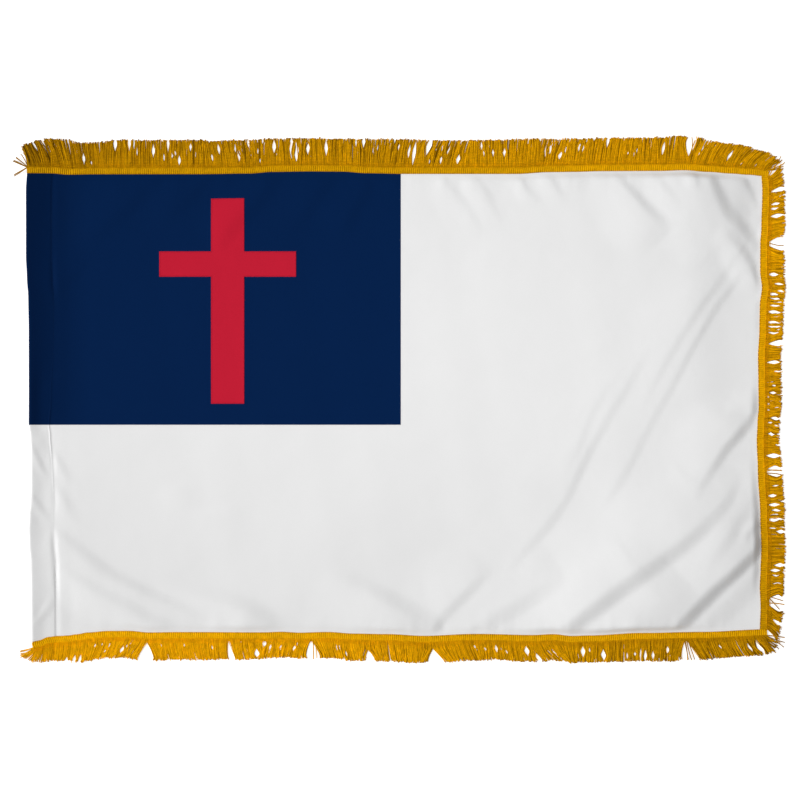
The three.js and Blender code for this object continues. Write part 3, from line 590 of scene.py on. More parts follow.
def on_sleeve(u, v):
    """How far the stitch line's wander moves the cloth beside it, and how its tuck and the bulge lift it."""
    beside = u - SLEEVE_STITCH
    moved = np.where(beside < 0, eased(u / SLEEVE_STITCH), 1 - eased(beside / WANDER_PAST_STITCH))
    shift = moved * (along(STITCH_LINE, 1, v) - SLEEVE_STITCH)
    tuck = along(STITCH_LINE, 2, v)
    reach = np.where((beside > 0) & (tuck < 0), GROOVE_REACH, TUCK_REACH)
    bulge = along(STITCH_LINE, 3, v) * np.sin(np.clip(u / SLEEVE_STITCH, 0, 1) * math.pi) ** 2
    return shift, tuck * (1 - eased(abs(beside) / reach)) + bulge


# ---- Meshes ----


def finish_piece(piece, replaced=None):
    """Puts a finished piece on the flag's one body."""
    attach(piece, "root")
    if replaced:
        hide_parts(replaced)


def new_object(name, data):
    """A new object in the scene, with its data named after it."""
    data.name = name
    made = bpy.data.objects.new(name, data)
    bpy.context.scene.collection.objects.link(made)
    return made


def make_sheet(name, middle, places, filled, thickness, material):
    """A closed sheet of cloth over the filled cells of a grid, its two faces half a thickness from middle.

    places are the grid's lines on the flat cloth, for the weave, in mm.
    """
    normal = np.cross(np.gradient(middle, axis=0), np.gradient(middle, axis=1))
    normal /= np.linalg.norm(normal, axis=2, keepdims=True)
    ringed = np.pad(filled, 1)
    used = ringed[1:, 1:] | ringed[:-1, 1:] | ringed[1:, :-1] | ringed[:-1, :-1]
    number = np.cumsum(used).reshape(used.shape) - 1
    count = used.sum()
    vertices = np.vstack([(middle + normal * thickness / 2)[used], (middle - normal * thickness / 2)[used]])
    a, b, c, d = number[:-1, :-1], number[1:, :-1], number[1:, 1:], number[:-1, 1:]
    front = np.stack([corner[filled] for corner in (a, b, c, d)], 1)
    faces = [front, front[:, ::-1] + count]
    neighbours = ringed[1:-1, :-2], ringed[2:, 1:-1], ringed[1:-1, 2:], ringed[:-2, 1:-1]
    for neighbour, start, end in zip(neighbours, (a, b, c, d), (b, c, d, a)):
        edge = filled & ~neighbour
        start, end = start[edge], end[edge]
        faces.append(np.stack([start, start + count, end + count, end], 1))
    faces = np.vstack(faces)
    mesh = bpy.data.meshes.new(name)
    mesh.from_pydata(vertices, [], faces)
    mesh.shade_smooth()
    mesh.set_sharp_from_angle(angle=math.radians(50))
    flat = np.tile((np.stack(np.meshgrid(*places, indexing="ij"), -1) * MM)[used], (2, 1))
    layer = mesh.uv_layers.new(name="cloth")
    layer.data.foreach_set("uv", flat[faces.ravel()].astype(np.float32).ravel())
    mesh.materials.append(material)
    return new_object(name, mesh)


def make_panel(name, flat_columns, rows, is_filled, hoist, thickness, material):
    """A panel of cloth with its pole sleeve. flat_columns are its grid lines beyond the sleeve."""
    section_u, section_z = sleeve_line()
    section_u = np.concatenate([section_u, flat_columns])
    section_z = np.concatenate([section_z, np.full(len(flat_columns), LYING)])
    length = np.concatenate([[0], np.cumsum(np.hypot(np.diff(section_u), np.diff(section_z)))])
    on_top = np.arange(len(section_u)) > section_u.argmin()
    u, v = np.meshgrid(section_u, rows, indexing="ij")
    z = np.repeat(section_z[:, None], len(rows), 1)
    shift, tuck = on_sleeve(u, v)
    sag, length_of_sag, seed = SLEEVE_SAG
    sagged = LYING + (z - LYING) * (1 + sag * uneven(v, length_of_sag, seed))
    z = np.where(z > LYING, sagged, z)
    z = z + np.where(on_top[:, None], tuck + folds_at(u, v) + ripples_at(u, v), 0)
    middle = placed(u + shift, v, z, hoist)
    right = np.maximum(section_u[:-1], section_u[1:])
    filled = is_filled(right[:, None], (rows[:-1] + rows[1:])[None, :] / 2)
    return make_sheet(name, middle, (length, rows), filled, thickness * MM, material)


# ---- Nodes ----


class Nodes:
    """Adds nodes to a tree. All but add and fill give back a new node's first output."""

    def __init__(self, tree):
        self.tree = tree

    def add(self, kind, inputs=None, **settings):
        """A new node with its settings and inputs."""
        made = self.tree.nodes.new(kind)
        count = len(self.tree.nodes)
        made.location = (190 * (count % 12), -240 * (count // 12))
        for name, value in settings.items():
            setattr(made, name, value)
        self.fill(made, inputs or {})
        return made

    def fill(self, made, inputs):
        """Links or sets a node's inputs by name or number."""
        for name, value in inputs.items():
            if isinstance(value, bpy.types.NodeSocket):
                self.tree.links.new(value, made.inputs[name])
            else:
                made.inputs[name].default_value = value

    def out(self, kind, inputs=None, **settings):
        return self.add(kind, inputs, **settings).outputs[0]

    def maths(self, operation, *values):
        return self.out("ShaderNodeMath", dict(enumerate(values)), operation=operation)

    def scaled(self, vector, scale):
        return self.out("ShaderNodeVectorMath", {0: vector, "Scale": scale}, operation="SCALE")

    def sum(self, first, second):
        return self.out("ShaderNodeVectorMath", {0: first, 1: second}, operation="ADD")

    def vector(self, x, y, z=0.0):
        return self.out("ShaderNodeCombineXYZ", {"X": x, "Y": y, "Z": z})

    def ranged(self, value, low, high, to_low=0.0, to_high=1.0):
        ends = {"From Min": low, "From Max": high, "To Min": to_low, "To Max": to_high}
        return self.out("ShaderNodeMapRange", {"Value": value, **ends})

    def noise(self, place, scale, detail=2.0):
        return self.out("ShaderNodeTexNoise", {"Vector": place, "Scale": scale, "Detail": detail})

    def attribute(self, name, kind="FLOAT"):
        return self.out("GeometryNodeInputNamedAttribute", {"Name": name}, data_type=kind)

    def stored(self, geometry, name, value, kind="FLOAT"):
        inputs = {"Geometry": geometry, "Name": name, "Value": value}
        return self.out("GeometryNodeStoreNamedAttribute", inputs, data_type=kind, domain="POINT")


LENGTH = ("Float", 0.001, "DISTANCE")


def new_group(name, kind, inputs, outputs):
    """A node group, its nodes and its input sockets. inputs tell a kind, a value and a subtype by name."""
    group = bpy.data.node_groups.new(name, kind)
    for socket, (sort, *details) in inputs.items():
        made = group.interface.new_socket(socket, in_out="INPUT", socket_type=f"NodeSocket{sort}")
        if len(details) > 1:
            made.subtype = details[1]
        if details:
            made.default_value = details[0]
    for socket, sort in outputs.items():
        group.interface.new_socket(socket, in_out="OUTPUT", socket_type=f"NodeSocket{sort}")
    nodes = Nodes(group)
    return group, nodes, nodes.add("NodeGroupInput").outputs


def new_tree(name, sizes):
    """A geometry tree with a geometry and a material input, and named sizes between them."""
    inputs = {"Geometry": ("Geometry",), **sizes, "Material": ("Material",)}
    return new_group(name, "GeometryNodeTree", inputs, {"Geometry": "Geometry"})[1:]


def end_tree(nodes, geometry, given, rounded=True):
    """Makes a tree's geometry real, shades it and gives it the tree's material."""
    real = nodes.out("GeometryNodeRealizeInstances", {"Geometry": geometry})
    shaded = nodes.out("GeometryNodeSetShadeSmooth", {"Geometry": real, "Shade Smooth": rounded})
    dressed = nodes.out("GeometryNodeSetMaterial", {"Geometry": shaded, "Material": given["Material"]})
    nodes.add("NodeGroupOutput", {"Geometry": dressed})


def strands_tree():
    """Strands from points. Each point says how far its strand's two bends and its tip lie from its root."""
    sizes = {"Thickness": LENGTH, "Points": ("Int", 7), "Sides": ("Int", 4)}
    nodes, given = new_tree("Fringe strands", sizes)
    line = nodes.out("GeometryNodeCurvePrimitiveLine")
    cut = nodes.out("GeometryNodeResampleCurve", {"Curve": line, "Count": given["Points"]})
    kept = nodes.stored(cut, "along", nodes.out("GeometryNodeSplineParameter"))
    rooted = nodes.out("GeometryNodeInstanceOnPoints", {
        "Points": given["Geometry"], "Instance": kept, "Scale": (0, 0, 0),
    })
    strands = nodes.out("GeometryNodeRealizeInstances", {"Geometry": rooted})
    place = nodes.attribute("along")
    left = nodes.maths("SUBTRACT", 1.0, place)
    reach = (0, 0, 0)
    bends = (("first_bend", 3.0, (place, left, left)), ("second_bend", 3.0, (place, place, left)),
             ("tip", 1.0, (place, place, place)))
    for name, weight, factors in bends:
        for factor in factors:
            weight = nodes.maths("MULTIPLY", weight, factor)
        reach = nodes.sum(reach, nodes.scaled(nodes.attribute(name, "FLOAT_VECTOR"), weight))
    beside = nodes.maths("SUBTRACT", place, nodes.attribute("parted_at"))
    off = nodes.maths("ABSOLUTE", nodes.maths("DIVIDE", beside, nodes.attribute("parted_over")))
    wide = nodes.maths("MAXIMUM", nodes.maths("SUBTRACT", 1.0, off), 0.0)
    wide = nodes.maths("MULTIPLY", wide, nodes.maths("MULTIPLY_ADD", off, 0.4, 1.0))
    reach = nodes.sum(reach, nodes.scaled(nodes.attribute("parted", "FLOAT_VECTOR"), wide))
    bent = nodes.out("GeometryNodeSetPosition", {"Geometry": strands, "Offset": reach})
    radius = nodes.maths("MULTIPLY", given["Thickness"], 0.5)
    ring = nodes.out("GeometryNodeCurvePrimitiveCircle", {"Resolution": given["Sides"], "Radius": radius})
    spot = nodes.out("GeometryNodeInputPosition")
    facing = nodes.out("ShaderNodeVectorMath", {0: spot}, operation="NORMALIZE")
    solid = nodes.out("GeometryNodeCurveToMesh", {
        "Curve": bent, "Profile Curve": nodes.stored(ring, "around", facing, "FLOAT_VECTOR"),
        "Scale": nodes.attribute("girth"), "Fill Caps": True,
    })
    end_tree(nodes, solid, given)


def row_tree(name, long):
    """A row of small bars along a path: rounded ones such as stitches, or long ones such as ribs."""
    sizes = dict.fromkeys(("Spacing", "Along", "Across", "Height"), LENGTH)
    nodes, given = new_tree(name, {**sizes, "Slant": ("Float", 0.0, "ANGLE")})
    path = nodes.out("GeometryNodeMeshToCurve", {"Mesh": given["Geometry"]})
    by_spacing = {"Curve": path, "Length": given["Spacing"]}
    spaced = nodes.out("GeometryNodeResampleCurve", by_spacing, mode="LENGTH")
    if long:
        upright = nodes.out("GeometryNodeMeshCylinder", {"Vertices": 8, "Radius": 0.5, "Depth": 1.0})
        bar = nodes.out("GeometryNodeTransform", {"Geometry": upright, "Rotation": (math.pi / 2, 0, 0)})
    else:
        bar = nodes.out("GeometryNodeMeshUVSphere", {"Segments": 6, "Rings": 5, "Radius": 0.5})
    facing = nodes.out(
        "FunctionNodeAlignRotationToVector", {"Vector": nodes.out("GeometryNodeInputTangent")},
        axis="X", pivot_axis="Z",
    )
    turned = nodes.out("FunctionNodeAxisAngleToRotation", {"Axis": (0, 0, 1), "Angle": given["Slant"]})
    rotation = nodes.out(
        "FunctionNodeRotateRotation", {"Rotation": facing, "Rotate By": turned}, rotation_space="LOCAL"
    )
    bars = nodes.out("GeometryNodeInstanceOnPoints", {
        "Points": spaced, "Instance": bar, "Rotation": rotation,
        "Scale": nodes.vector(given["Along"], given["Across"], given["Height"]),
    })
    end_tree(nodes, bars, given, not long)


def cord_tree():
    """Flat or round cords along paths."""
    nodes, given = new_tree("Cord along a path", {"Width": LENGTH, "Height": LENGTH, "Sides": ("Int", 6)})
    path = nodes.out("GeometryNodeMeshToCurve", {"Mesh": given["Geometry"]})
    level = nodes.out("GeometryNodeSetCurveNormal", {"Curve": path}, mode="Z_UP")
    ring = nodes.out("GeometryNodeCurvePrimitiveCircle", {"Resolution": given["Sides"], "Radius": 0.5})
    size = nodes.vector(given["Width"], given["Height"], 1.0)
    section = nodes.out("GeometryNodeTransform", {"Geometry": ring, "Scale": size})
    inputs = {"Curve": level, "Profile Curve": section, "Fill Caps": True}
    end_tree(nodes, nodes.out("GeometryNodeCurveToMesh", inputs), given)


def grown(guide, tree_name, **values):
    """The plain mesh that a tree grows on a guide mesh. values are the tree's inputs."""
    tree = bpy.data.node_groups[tree_name]
    holder = new_object("guide", guide)
    modifier = holder.modifiers.new(tree.name, "NODES")
    modifier.node_group = tree
    sockets = {i.name: i.identifier for i in tree.interface.items_tree if i.in_out == "INPUT"}
    for key, value in values.items():
        modifier[sockets[key.capitalize()]] = value
    depsgraph = bpy.context.evaluated_depsgraph_get()
    mesh = bpy.data.meshes.new_from_object(
        holder.evaluated_get(depsgraph), preserve_all_data_layers=True, depsgraph=depsgraph
    )
    bpy.data.objects.remove(holder)
    bpy.data.meshes.remove(guide)
    return mesh


def joined(name, meshes):
    """One object from several plain meshes."""
    parts = [new_object(f"{name}_{i}", mesh) for i, mesh in enumerate(meshes)]
    with bpy.context.temp_override(active_object=parts[0], selected_editable_objects=parts):
        bpy.ops.object.join()
    parts[0].name = parts[0].data.name = name
    return parts[0]


def guide_paths(paths, tones=None):
    """A mesh of open paths, for trees to follow, with a tone of painted light and shade at each point if
    told.
    """
    edges, start = [], 0
    for path in paths:
        numbers = np.arange(start, start + len(path))
        edges.append(np.stack([numbers[:-1], numbers[1:]], 1))
        start += len(path)
    mesh = bpy.data.meshes.new("guide")
    mesh.from_pydata(np.vstack(paths), np.vstack(edges), [])
    if tones is not None:
        mesh.attributes.new("tone", "FLOAT", "POINT").data.foreach_set("value", np.concatenate(tones))
    return mesh


def guide_points(roots, attributes):
    """A mesh of points with named values on them, for trees to grow on."""
    mesh = bpy.data.meshes.new("guide")
    mesh.from_pydata(roots, [], [])
    for key, values in attributes.items():
        kind, field = ("FLOAT_VECTOR", "vector") if values.ndim == 2 else ("FLOAT", "value")
        mesh.attributes.new(key, kind, "POINT").data.foreach_set(field, values.astype(np.float32).ravel())
    return mesh


# ---- Materials ----


SURFACE = {"Colour": "Color", "Roughness": "Float", "Height": "Float"}
COLOUR = ("Color", (1, 1, 1, 1))
PLACE = ("Vector", (0, 0, 0))


def weave_group():
    """Plain weave and the cloth's slight mottling, over places in metres, with painted light and shade that
    scales the colour towards the hoist.
    """
    group, nodes, given = new_group("Plain weave", "ShaderNodeTree", {
        "Place": PLACE, "Colour": COLOUR, "Thread": ("Float", 0.0005), "Depth": ("Float", 0.00003),
        "Mottling": ("Float", 0.03), "Painted Light At Hoist": ("Float", 1.0),
    }, SURFACE)
    axes = nodes.add("ShaderNodeSeparateXYZ", {0: given["Place"]}).outputs
    waves = []
    for axis in ("X", "Y"):
        turn = nodes.maths("DIVIDE", axes[axis], given["Thread"])
        waves.append(nodes.maths("SINE", nodes.maths("MULTIPLY", turn, math.pi)))
    weave = nodes.maths("MULTIPLY", nodes.maths("MULTIPLY", *waves), given["Depth"])
    cloud = nodes.noise(given["Place"], 26.0, 3.0)
    fleck = nodes.noise(given["Place"], 420.0)
    mottled = nodes.maths("MULTIPLY", nodes.ranged(fleck, 0.3, 0.7, -1.0, 1.0), given["Mottling"])
    # Painted light and shade: the colour is scaled from the hoist fold over the sleeve, lighter where the
    # factor is above 1 and darker where it is below.
    painted_light_by_hoist = nodes.ranged(axes["X"], 0.08, 0.18, given["Painted Light At Hoist"])
    level = nodes.maths("MULTIPLY", nodes.maths("ADD", mottled, 1.0), painted_light_by_hoist)
    nodes.add("NodeGroupOutput", {
        "Colour": nodes.scaled(given["Colour"], level), "Roughness": nodes.ranged(cloud, 0.3, 0.7, 0.5, 0.62),
        "Height": nodes.maths("ADD", weave, nodes.maths("MULTIPLY", cloud, 0.0006)),
    })
    return group


def twist_group():
    """Yarn's plies, with painted shade in the grooves between them, and its changes of tone from strand to
    strand, down strands that run from 0 to 1. Its tone is painted light and shade along each edge.
    """
    group, nodes, given = new_group("Twisted yarn", "ShaderNodeTree", {
        "Along": ("Float", 0.0), "Around": ("Vector", (1, 0, 0)), "Shade": ("Float", 0.5),
        "Tone": ("Float", 1.0), "Place": PLACE, "Turns": ("Float", 22.0), "Groove Painted Shade": ("Float", 1.0),
        "Dark": COLOUR, "Middle": COLOUR, "Bright": COLOUR,
    }, SURFACE)
    turns = nodes.maths("MULTIPLY", given["Along"], given["Turns"])
    angle = nodes.maths("MULTIPLY", turns, 2 * math.pi)
    plies = nodes.vector(nodes.maths("SINE", angle), nodes.maths("COSINE", angle))
    facing = nodes.add("ShaderNodeVectorMath", {0: plies, 1: given["Around"]}, operation="DOT_PRODUCT")
    wave = facing.outputs["Value"]
    colour = given["Dark"]
    for start, next_colour in ((0.0, "Middle"), (0.5, "Bright")):
        share = nodes.ranged(given["Shade"], start, start + 0.5)
        inputs = {"Factor": share, 6: colour, 7: given[next_colour]}
        colour = nodes.add("ShaderNodeMix", inputs, data_type="RGBA").outputs[2]
    mottled = nodes.ranged(nodes.noise(given["Place"], 130.0, 3.0), 0.3, 0.7, 0.84, 1.12)
    # Tone is painted light and shade along each edge.
    level = nodes.maths("MULTIPLY", mottled, given["Tone"])
    # Painted shade: the colour is darkened in the grooves between the plies.
    level = nodes.maths("MULTIPLY", level, nodes.ranged(wave, -1.0, 0.4, given["Groove Painted Shade"]))
    nodes.add("NodeGroupOutput", {
        "Colour": nodes.scaled(colour, level), "Roughness": nodes.ranged(wave, -1.0, 1.0, 0.55, 0.4),
        "Height": nodes.maths("MULTIPLY", wave, 0.0001),
    })
    return group


def new_material(name, colour):
    """A material with its nodes and its Principled shader, and the colour for the viewport."""
    material = bpy.data.materials.new(name)
    material.use_nodes = True
    material.diffuse_color = (*colour, 1)
    return material, Nodes(material.node_tree), material.node_tree.nodes["Principled BSDF"]


def dress(nodes, shader, made, looks):
    """Gives a shader a group's colour, roughness and relief, and its other looks."""
    relief = nodes.out("ShaderNodeBump", {"Height": made.outputs["Height"], "Distance": 1.0})
    given = {"Base Color": made.outputs["Colour"], "Roughness": made.outputs["Roughness"], "Normal": relief}
    nodes.fill(shader, {**given, **looks})


def cloth_material(name, colour, mottling, sheen, painted_light_at_hoist=1.0):
    """Woven nylon with a faint sheen, whose colour is scaled towards the hoist as painted light and shade."""
    material, nodes, shader = new_material(name, colour)
    weave = bpy.data.node_groups.get("Plain weave") or weave_group()
    cloth = nodes.add("ShaderNodeGroup", {
        "Place": nodes.out("ShaderNodeUVMap", uv_map="cloth"), "Colour": (*colour, 1), "Mottling": mottling,
        "Painted Light At Hoist": painted_light_at_hoist,
    }, node_tree=weave)
    looks = {"Specular IOR Level": sheen, "Sheen Weight": sheen / 2, "Sheen Roughness": 0.4}
    dress(nodes, shader, cloth, looks)
    return material


def gold_material(name, colours, turns=0):
    """Twisted rayon yarn, from its shaded to its bright tones."""
    material, nodes, shader = new_material(name, colours[1])
    twist = bpy.data.node_groups.get("Twisted yarn") or twist_group()
    told = {key: (*colour, 1) for key, colour in zip(("Dark", "Middle", "Bright"), colours)}
    told["Place"] = nodes.add("ShaderNodeTexCoord").outputs["Object"]
    told["Turns"] = turns
    # Tone is painted light and shade along the edges.
    for key in ("Tone", "Along", "Shade", "Around") if turns else ("Tone",):
        value = nodes.add("ShaderNodeAttribute", attribute_name=key.lower())
        told[key] = value.outputs["Vector" if key == "Around" else "Fac"]
    # Painted shade in the strands' ply grooves.
    if turns:
        told["Groove Painted Shade"] = 0.6
    yarn = nodes.add("ShaderNodeGroup", told, node_tree=twist)
    dress(nodes, shader, yarn, {"Specular IOR Level": 0.12, "Specular Tint": (1, 0.62, 0.02, 1)})
    return material


def thread_material(name, colour):
    """Plain sewing thread, uneven in tone from stitch to stitch."""
    material, nodes, shader = new_material(name, colour)
    place = nodes.add("ShaderNodeTexCoord").outputs["Object"]
    tone = nodes.ranged(nodes.noise(place, 300.0), 0.3, 0.7, 0.85, 1.05)
    nodes.fill(shader, {
        "Base Color": nodes.scaled(colour, tone), "Roughness": 0.5, "Specular IOR Level": 0.04,
    })
    return material


def floor_material(colour, glow):
    """A pale floor that the camera sees a little lighter than it is lit, and that keeps shadows."""
    material, nodes, shader = new_material("pale_floor", colour)
    path = nodes.add("ShaderNodeLightPath").outputs
    seen = nodes.maths("MAXIMUM", path["Is Camera Ray"], path["Is Glossy Ray"])
    seen = nodes.maths("MAXIMUM", seen, path["Is Transmission Ray"])
    nodes.fill(shader, {
        "Base Color": (*colour, 1), "Roughness": 0.9, "Specular IOR Level": 0.0,
        "Emission Color": (1, 1, 1, 1), "Emission Strength": nodes.maths("MULTIPLY", seen, glow),
    })
    return material


# ---- Properties ----


def length_property(name, description, default):
    return FloatProperty(name=name, description=description, default=default, unit="LENGTH")


def amount_property(name, description, default, unit="NONE"):
    return FloatProperty(name=name, description=description, default=default, min=0, unit=unit)


def colour_property(name, description, code):
    return FloatVectorProperty(
        name=name, description=description, default=linear(code), subtype="COLOR", min=0, max=1
    )


def point_property(name, description, default):
    return FloatVectorProperty(
        name=name, description=description, default=default, subtype="TRANSLATION", unit="LENGTH"
    )


class FlagCloth(bpy.types.PropertyGroup):
    """Sizes of the cloth and its sewing"""

    thickness: length_property("Cloth thickness", "Thickness of one layer of cloth", 0.0006)
    grid: length_property("Fine grid", "Grid spacing where the field has its folds", 0.0044)
    cross_thickness: length_property("Cross thickness", "Thickness of the cross", 0.0005)
    stitch: length_property("Sleeve stitch", "Length of a stitch along the sleeve", 0.0032)
    satin_stitch: length_property("Cross stitch width", "Width of the stitching round the cross", 0.0024)


class FlagFringe(bpy.types.PropertyGroup):
    """Sizes of the gold fringe"""

    strand: length_property("Strand thickness", "Thickness of one strand", 0.0013)
    spacing: length_property("Strand spacing", "Spacing of the roots in one layer of strands", 0.0013)
    rib_spacing: length_property("Rib spacing", "Spacing of the heading's ribs", 0.0037)
    clump: length_property("Clump width", "Usual width of the clumps that strands lie in", 0.0042)
    points: IntProperty(
        name="Points in a strand", description="How many points each strand bends at", default=10,
        min=3, max=12,
    )


class FlagColours(bpy.types.PropertyGroup):
    """Colours of the cloth and the fringe"""

    white: colour_property("White", "Colour of the field", "eaeaea")
    blue: colour_property("Blue", "Colour of the canton", "06214a")
    red: colour_property("Red", "Colour of the cross", "c11d34")
    gold: colour_property("Gold", "Usual colour of the fringe", "d69903")
    # The darkest tone of the strands, and the painted shade on the lower layer between the clumps.
    gold_dark_and_shade: colour_property("Dark and shaded gold", "Darkest tone of the fringe", "6e4902")
    gold_bright: colour_property("Bright gold", "Brightest tone of the fringe", "f0b006")


class FlagStage(bpy.types.PropertyGroup):
    """The floor, the light and the view"""

    view_width: length_property("View width", "Width of floor that the camera sees", 1.544)
    view_centre: point_property("View centre", "Point of the floor under the camera", (-0.0039, 0.0007, 0))
    key_light: amount_property("Key light", "Strength of the light from the left", 3.05)
    key_elevation: FloatProperty(
        name="Key elevation", description="Height of the light above the floor", default=math.radians(31),
        subtype="ANGLE",
    )
    top_light: amount_property("Top light", "Power of the long lamp over the middle", 2.15, "POWER")
    top_light_place: point_property("Top light place", "Where the long lamp hangs", (-0.1, 0.1, 0.85))
    sky_light: amount_property("Sky light", "Strength of the even light from all round", 0.31)
    floor_glow: amount_property("Floor glow", "How much lighter the camera sees the floor", 0.6)


# ---- Operators ----


class FLAG_OT_lay_field(bpy.types.Operator):
    """Lay the white field, L shaped round the canton, with its part of the sleeve"""

    bl_idname = "flag.lay_field"
    bl_label = "Lay the Field"

    def execute(self, context):
        cloth, white = context.scene.flag_cloth, context.scene.flag_colours.white
        fine = cloth.grid / MM
        coarse = fine * 2
        plain = steps(TURNED_UNDER, CANTON_LENGTH, longest=coarse)[1:]
        folded = steps(CANTON_LENGTH, CLOTH_LENGTH, longest=fine)[1:]
        piece = make_panel(
            "field_cloth", np.concatenate([plain, folded]),
            steps(0, CANTON_FOOT, CLOTH_HEIGHT, longest=fine * 1.1),
            lambda u, v: (v < CANTON_FOOT) | (u > CANTON_LENGTH + 0.01), FIELD_HOIST, cloth.thickness / MM,
            # Painted light: the white is painted lighter towards the hoist.
            cloth_material("white_nylon", white, mottling=0.008, sheen=0.12, painted_light_at_hoist=1.05),
        )
        finish_piece(piece, "field")
        return {"FINISHED"}


class FLAG_OT_lay_canton(bpy.types.Operator):
    """Lay the dark blue canton, with its part of the sleeve"""

    bl_idname = "flag.lay_canton"
    bl_label = "Lay the Canton"

    def execute(self, context):
        cloth, blue = context.scene.flag_cloth, context.scene.flag_colours.blue
        fine = cloth.grid / MM
        piece = make_panel(
            "canton_cloth", steps(TURNED_UNDER, CANTON_LENGTH - SEAM_GAP, longest=fine * 1.8)[1:],
            steps(CANTON_FOOT + SEAM_GAP, CLOTH_HEIGHT, longest=fine * 1.5), lambda u, v: (u > 0) & (v > 0),
            CANTON_HOIST, cloth.thickness / MM,
            # Painted shade: the blue is painted darker towards the hoist.
            cloth_material("blue_nylon", blue, mottling=0.05, sheen=0.008, painted_light_at_hoist=0.72),
        )
        finish_piece(piece, "canton")
        return {"FINISHED"}


class FLAG_OT_lay_cross(bpy.types.Operator):
    """Lay the red cross on the canton and sew it round its edge"""

    bl_idname = "flag.lay_cross"
    bl_label = "Lay the Cross"

    def execute(self, context):
        cloth, red = context.scene.flag_cloth, context.scene.flag_colours.red
        bar, arm = CROSS_BAR / 2, CROSS_SPAN / 2
        lines_u = steps(*(CROSS_CENTRE + across for across in (-arm, -bar, bar, arm)), longest=CROSS_GRID)
        lines_v = steps(CROSS_FOOT, CROSS_ARM_FOOT, CROSS_ARM_TOP, CROSS_TOP, longest=CROSS_GRID)
        thickness = cloth.cross_thickness / MM
        lift = cloth.thickness / MM / 2 + CROSS_CLEARANCE
        middle = self.on_canton(*np.meshgrid(lines_u, lines_v, indexing="ij"), lift + thickness / 2)
        mid_u, mid_v = ((lines[:-1] + lines[1:]) / 2 for lines in (lines_u, lines_v))
        upright = abs(mid_u - CROSS_CENTRE) < bar
        arms = (mid_v > CROSS_ARM_FOOT) & (mid_v < CROSS_ARM_TOP)
        piece = make_sheet(
            "cross_cloth", middle, (lines_u, lines_v), upright[:, None] | arms, thickness * MM,
            cloth_material("red_nylon", red, mottling=0.03, sheen=0.02),
        )
        finish_piece(piece, "cross")
        self.sew(cloth.satin_stitch, red, bar, arm, lift + thickness)
        return {"FINISHED"}

    def on_canton(self, u, v, lift):
        """Points that lie on the canton, at a height over the middle of its cloth."""
        return placed(u, v, LYING + folds_at(u, v) + ripples_at(u, v) + lift, CANTON_HOIST)

    def sew(self, width, colour, bar, arm, lift):
        """Satin stitches round the edge, just inside it."""
        inset = width / MM / 2
        bar, arm, foot, top = bar - inset, arm - inset, CROSS_FOOT + inset, CROSS_TOP - inset
        arm_foot, arm_top = CROSS_ARM_FOOT + inset, CROSS_ARM_TOP - inset
        half = ((bar, foot), (bar, arm_foot), (arm, arm_foot), (arm, arm_top), (bar, arm_top), (bar, top))
        right = [(CROSS_CENTRE + across, v) for across, v in half]
        left = [(CROSS_CENTRE - across, v) for across, v in reversed(half)]
        corners = np.array([left[-1], *right, *left])
        shares = np.linspace(0, 1, 14)[:, None]
        sides = [start + shares * (end - start) for start, end in zip(corners, corners[1:])]
        mesh = grown(
            guide_paths([self.on_canton(*side.T, lift) for side in sides]), "Row along a path",
            spacing=0.0011, along=0.0008, across=width, height=0.0006, slant=math.radians(12),
            material=thread_material("red_thread", colour),
        )
        finish_piece(new_object("cross_stitches", mesh))


class FLAG_OT_sew_sleeve(bpy.types.Operator):
    """Sew the stitch line that closes the pole sleeve"""

    bl_idname = "flag.sew_sleeve"
    bl_label = "Sew the Sleeve"

    def execute(self, context):
        cloth, colours = context.scene.flag_cloth, context.scene.flag_colours
        seam = CANTON_FOOT
        halves = (
            ("lower", HEADING_WIDTH, seam - 1, FIELD_HOIST, "white_cloth", colours.white),
            ("upper", seam + 1, CLOTH_HEIGHT - HEADING_WIDTH, CANTON_HOIST, "blue_cloth", colours.blue),
        )
        for half, start, end, hoist, slot, colour in halves:
            name = f"sleeve_stitches_{half}"
            v = steps(start, end, longest=6)
            u = np.full(v.shape, float(SLEEVE_STITCH))
            shift, tuck = on_sleeve(u, v)
            z = top_of_cloth(u, cloth.thickness / MM) + tuck + 0.05
            mesh = grown(
                guide_paths([placed(u + shift, v, z, hoist)]), "Row along a path",
                spacing=cloth.stitch, along=cloth.stitch * 0.8, across=0.0006, height=0.0005,
                material=thread_material(f"{name}_thread", colour),
            )
            finish_piece(new_object(name, mesh))
        return {"FINISHED"}


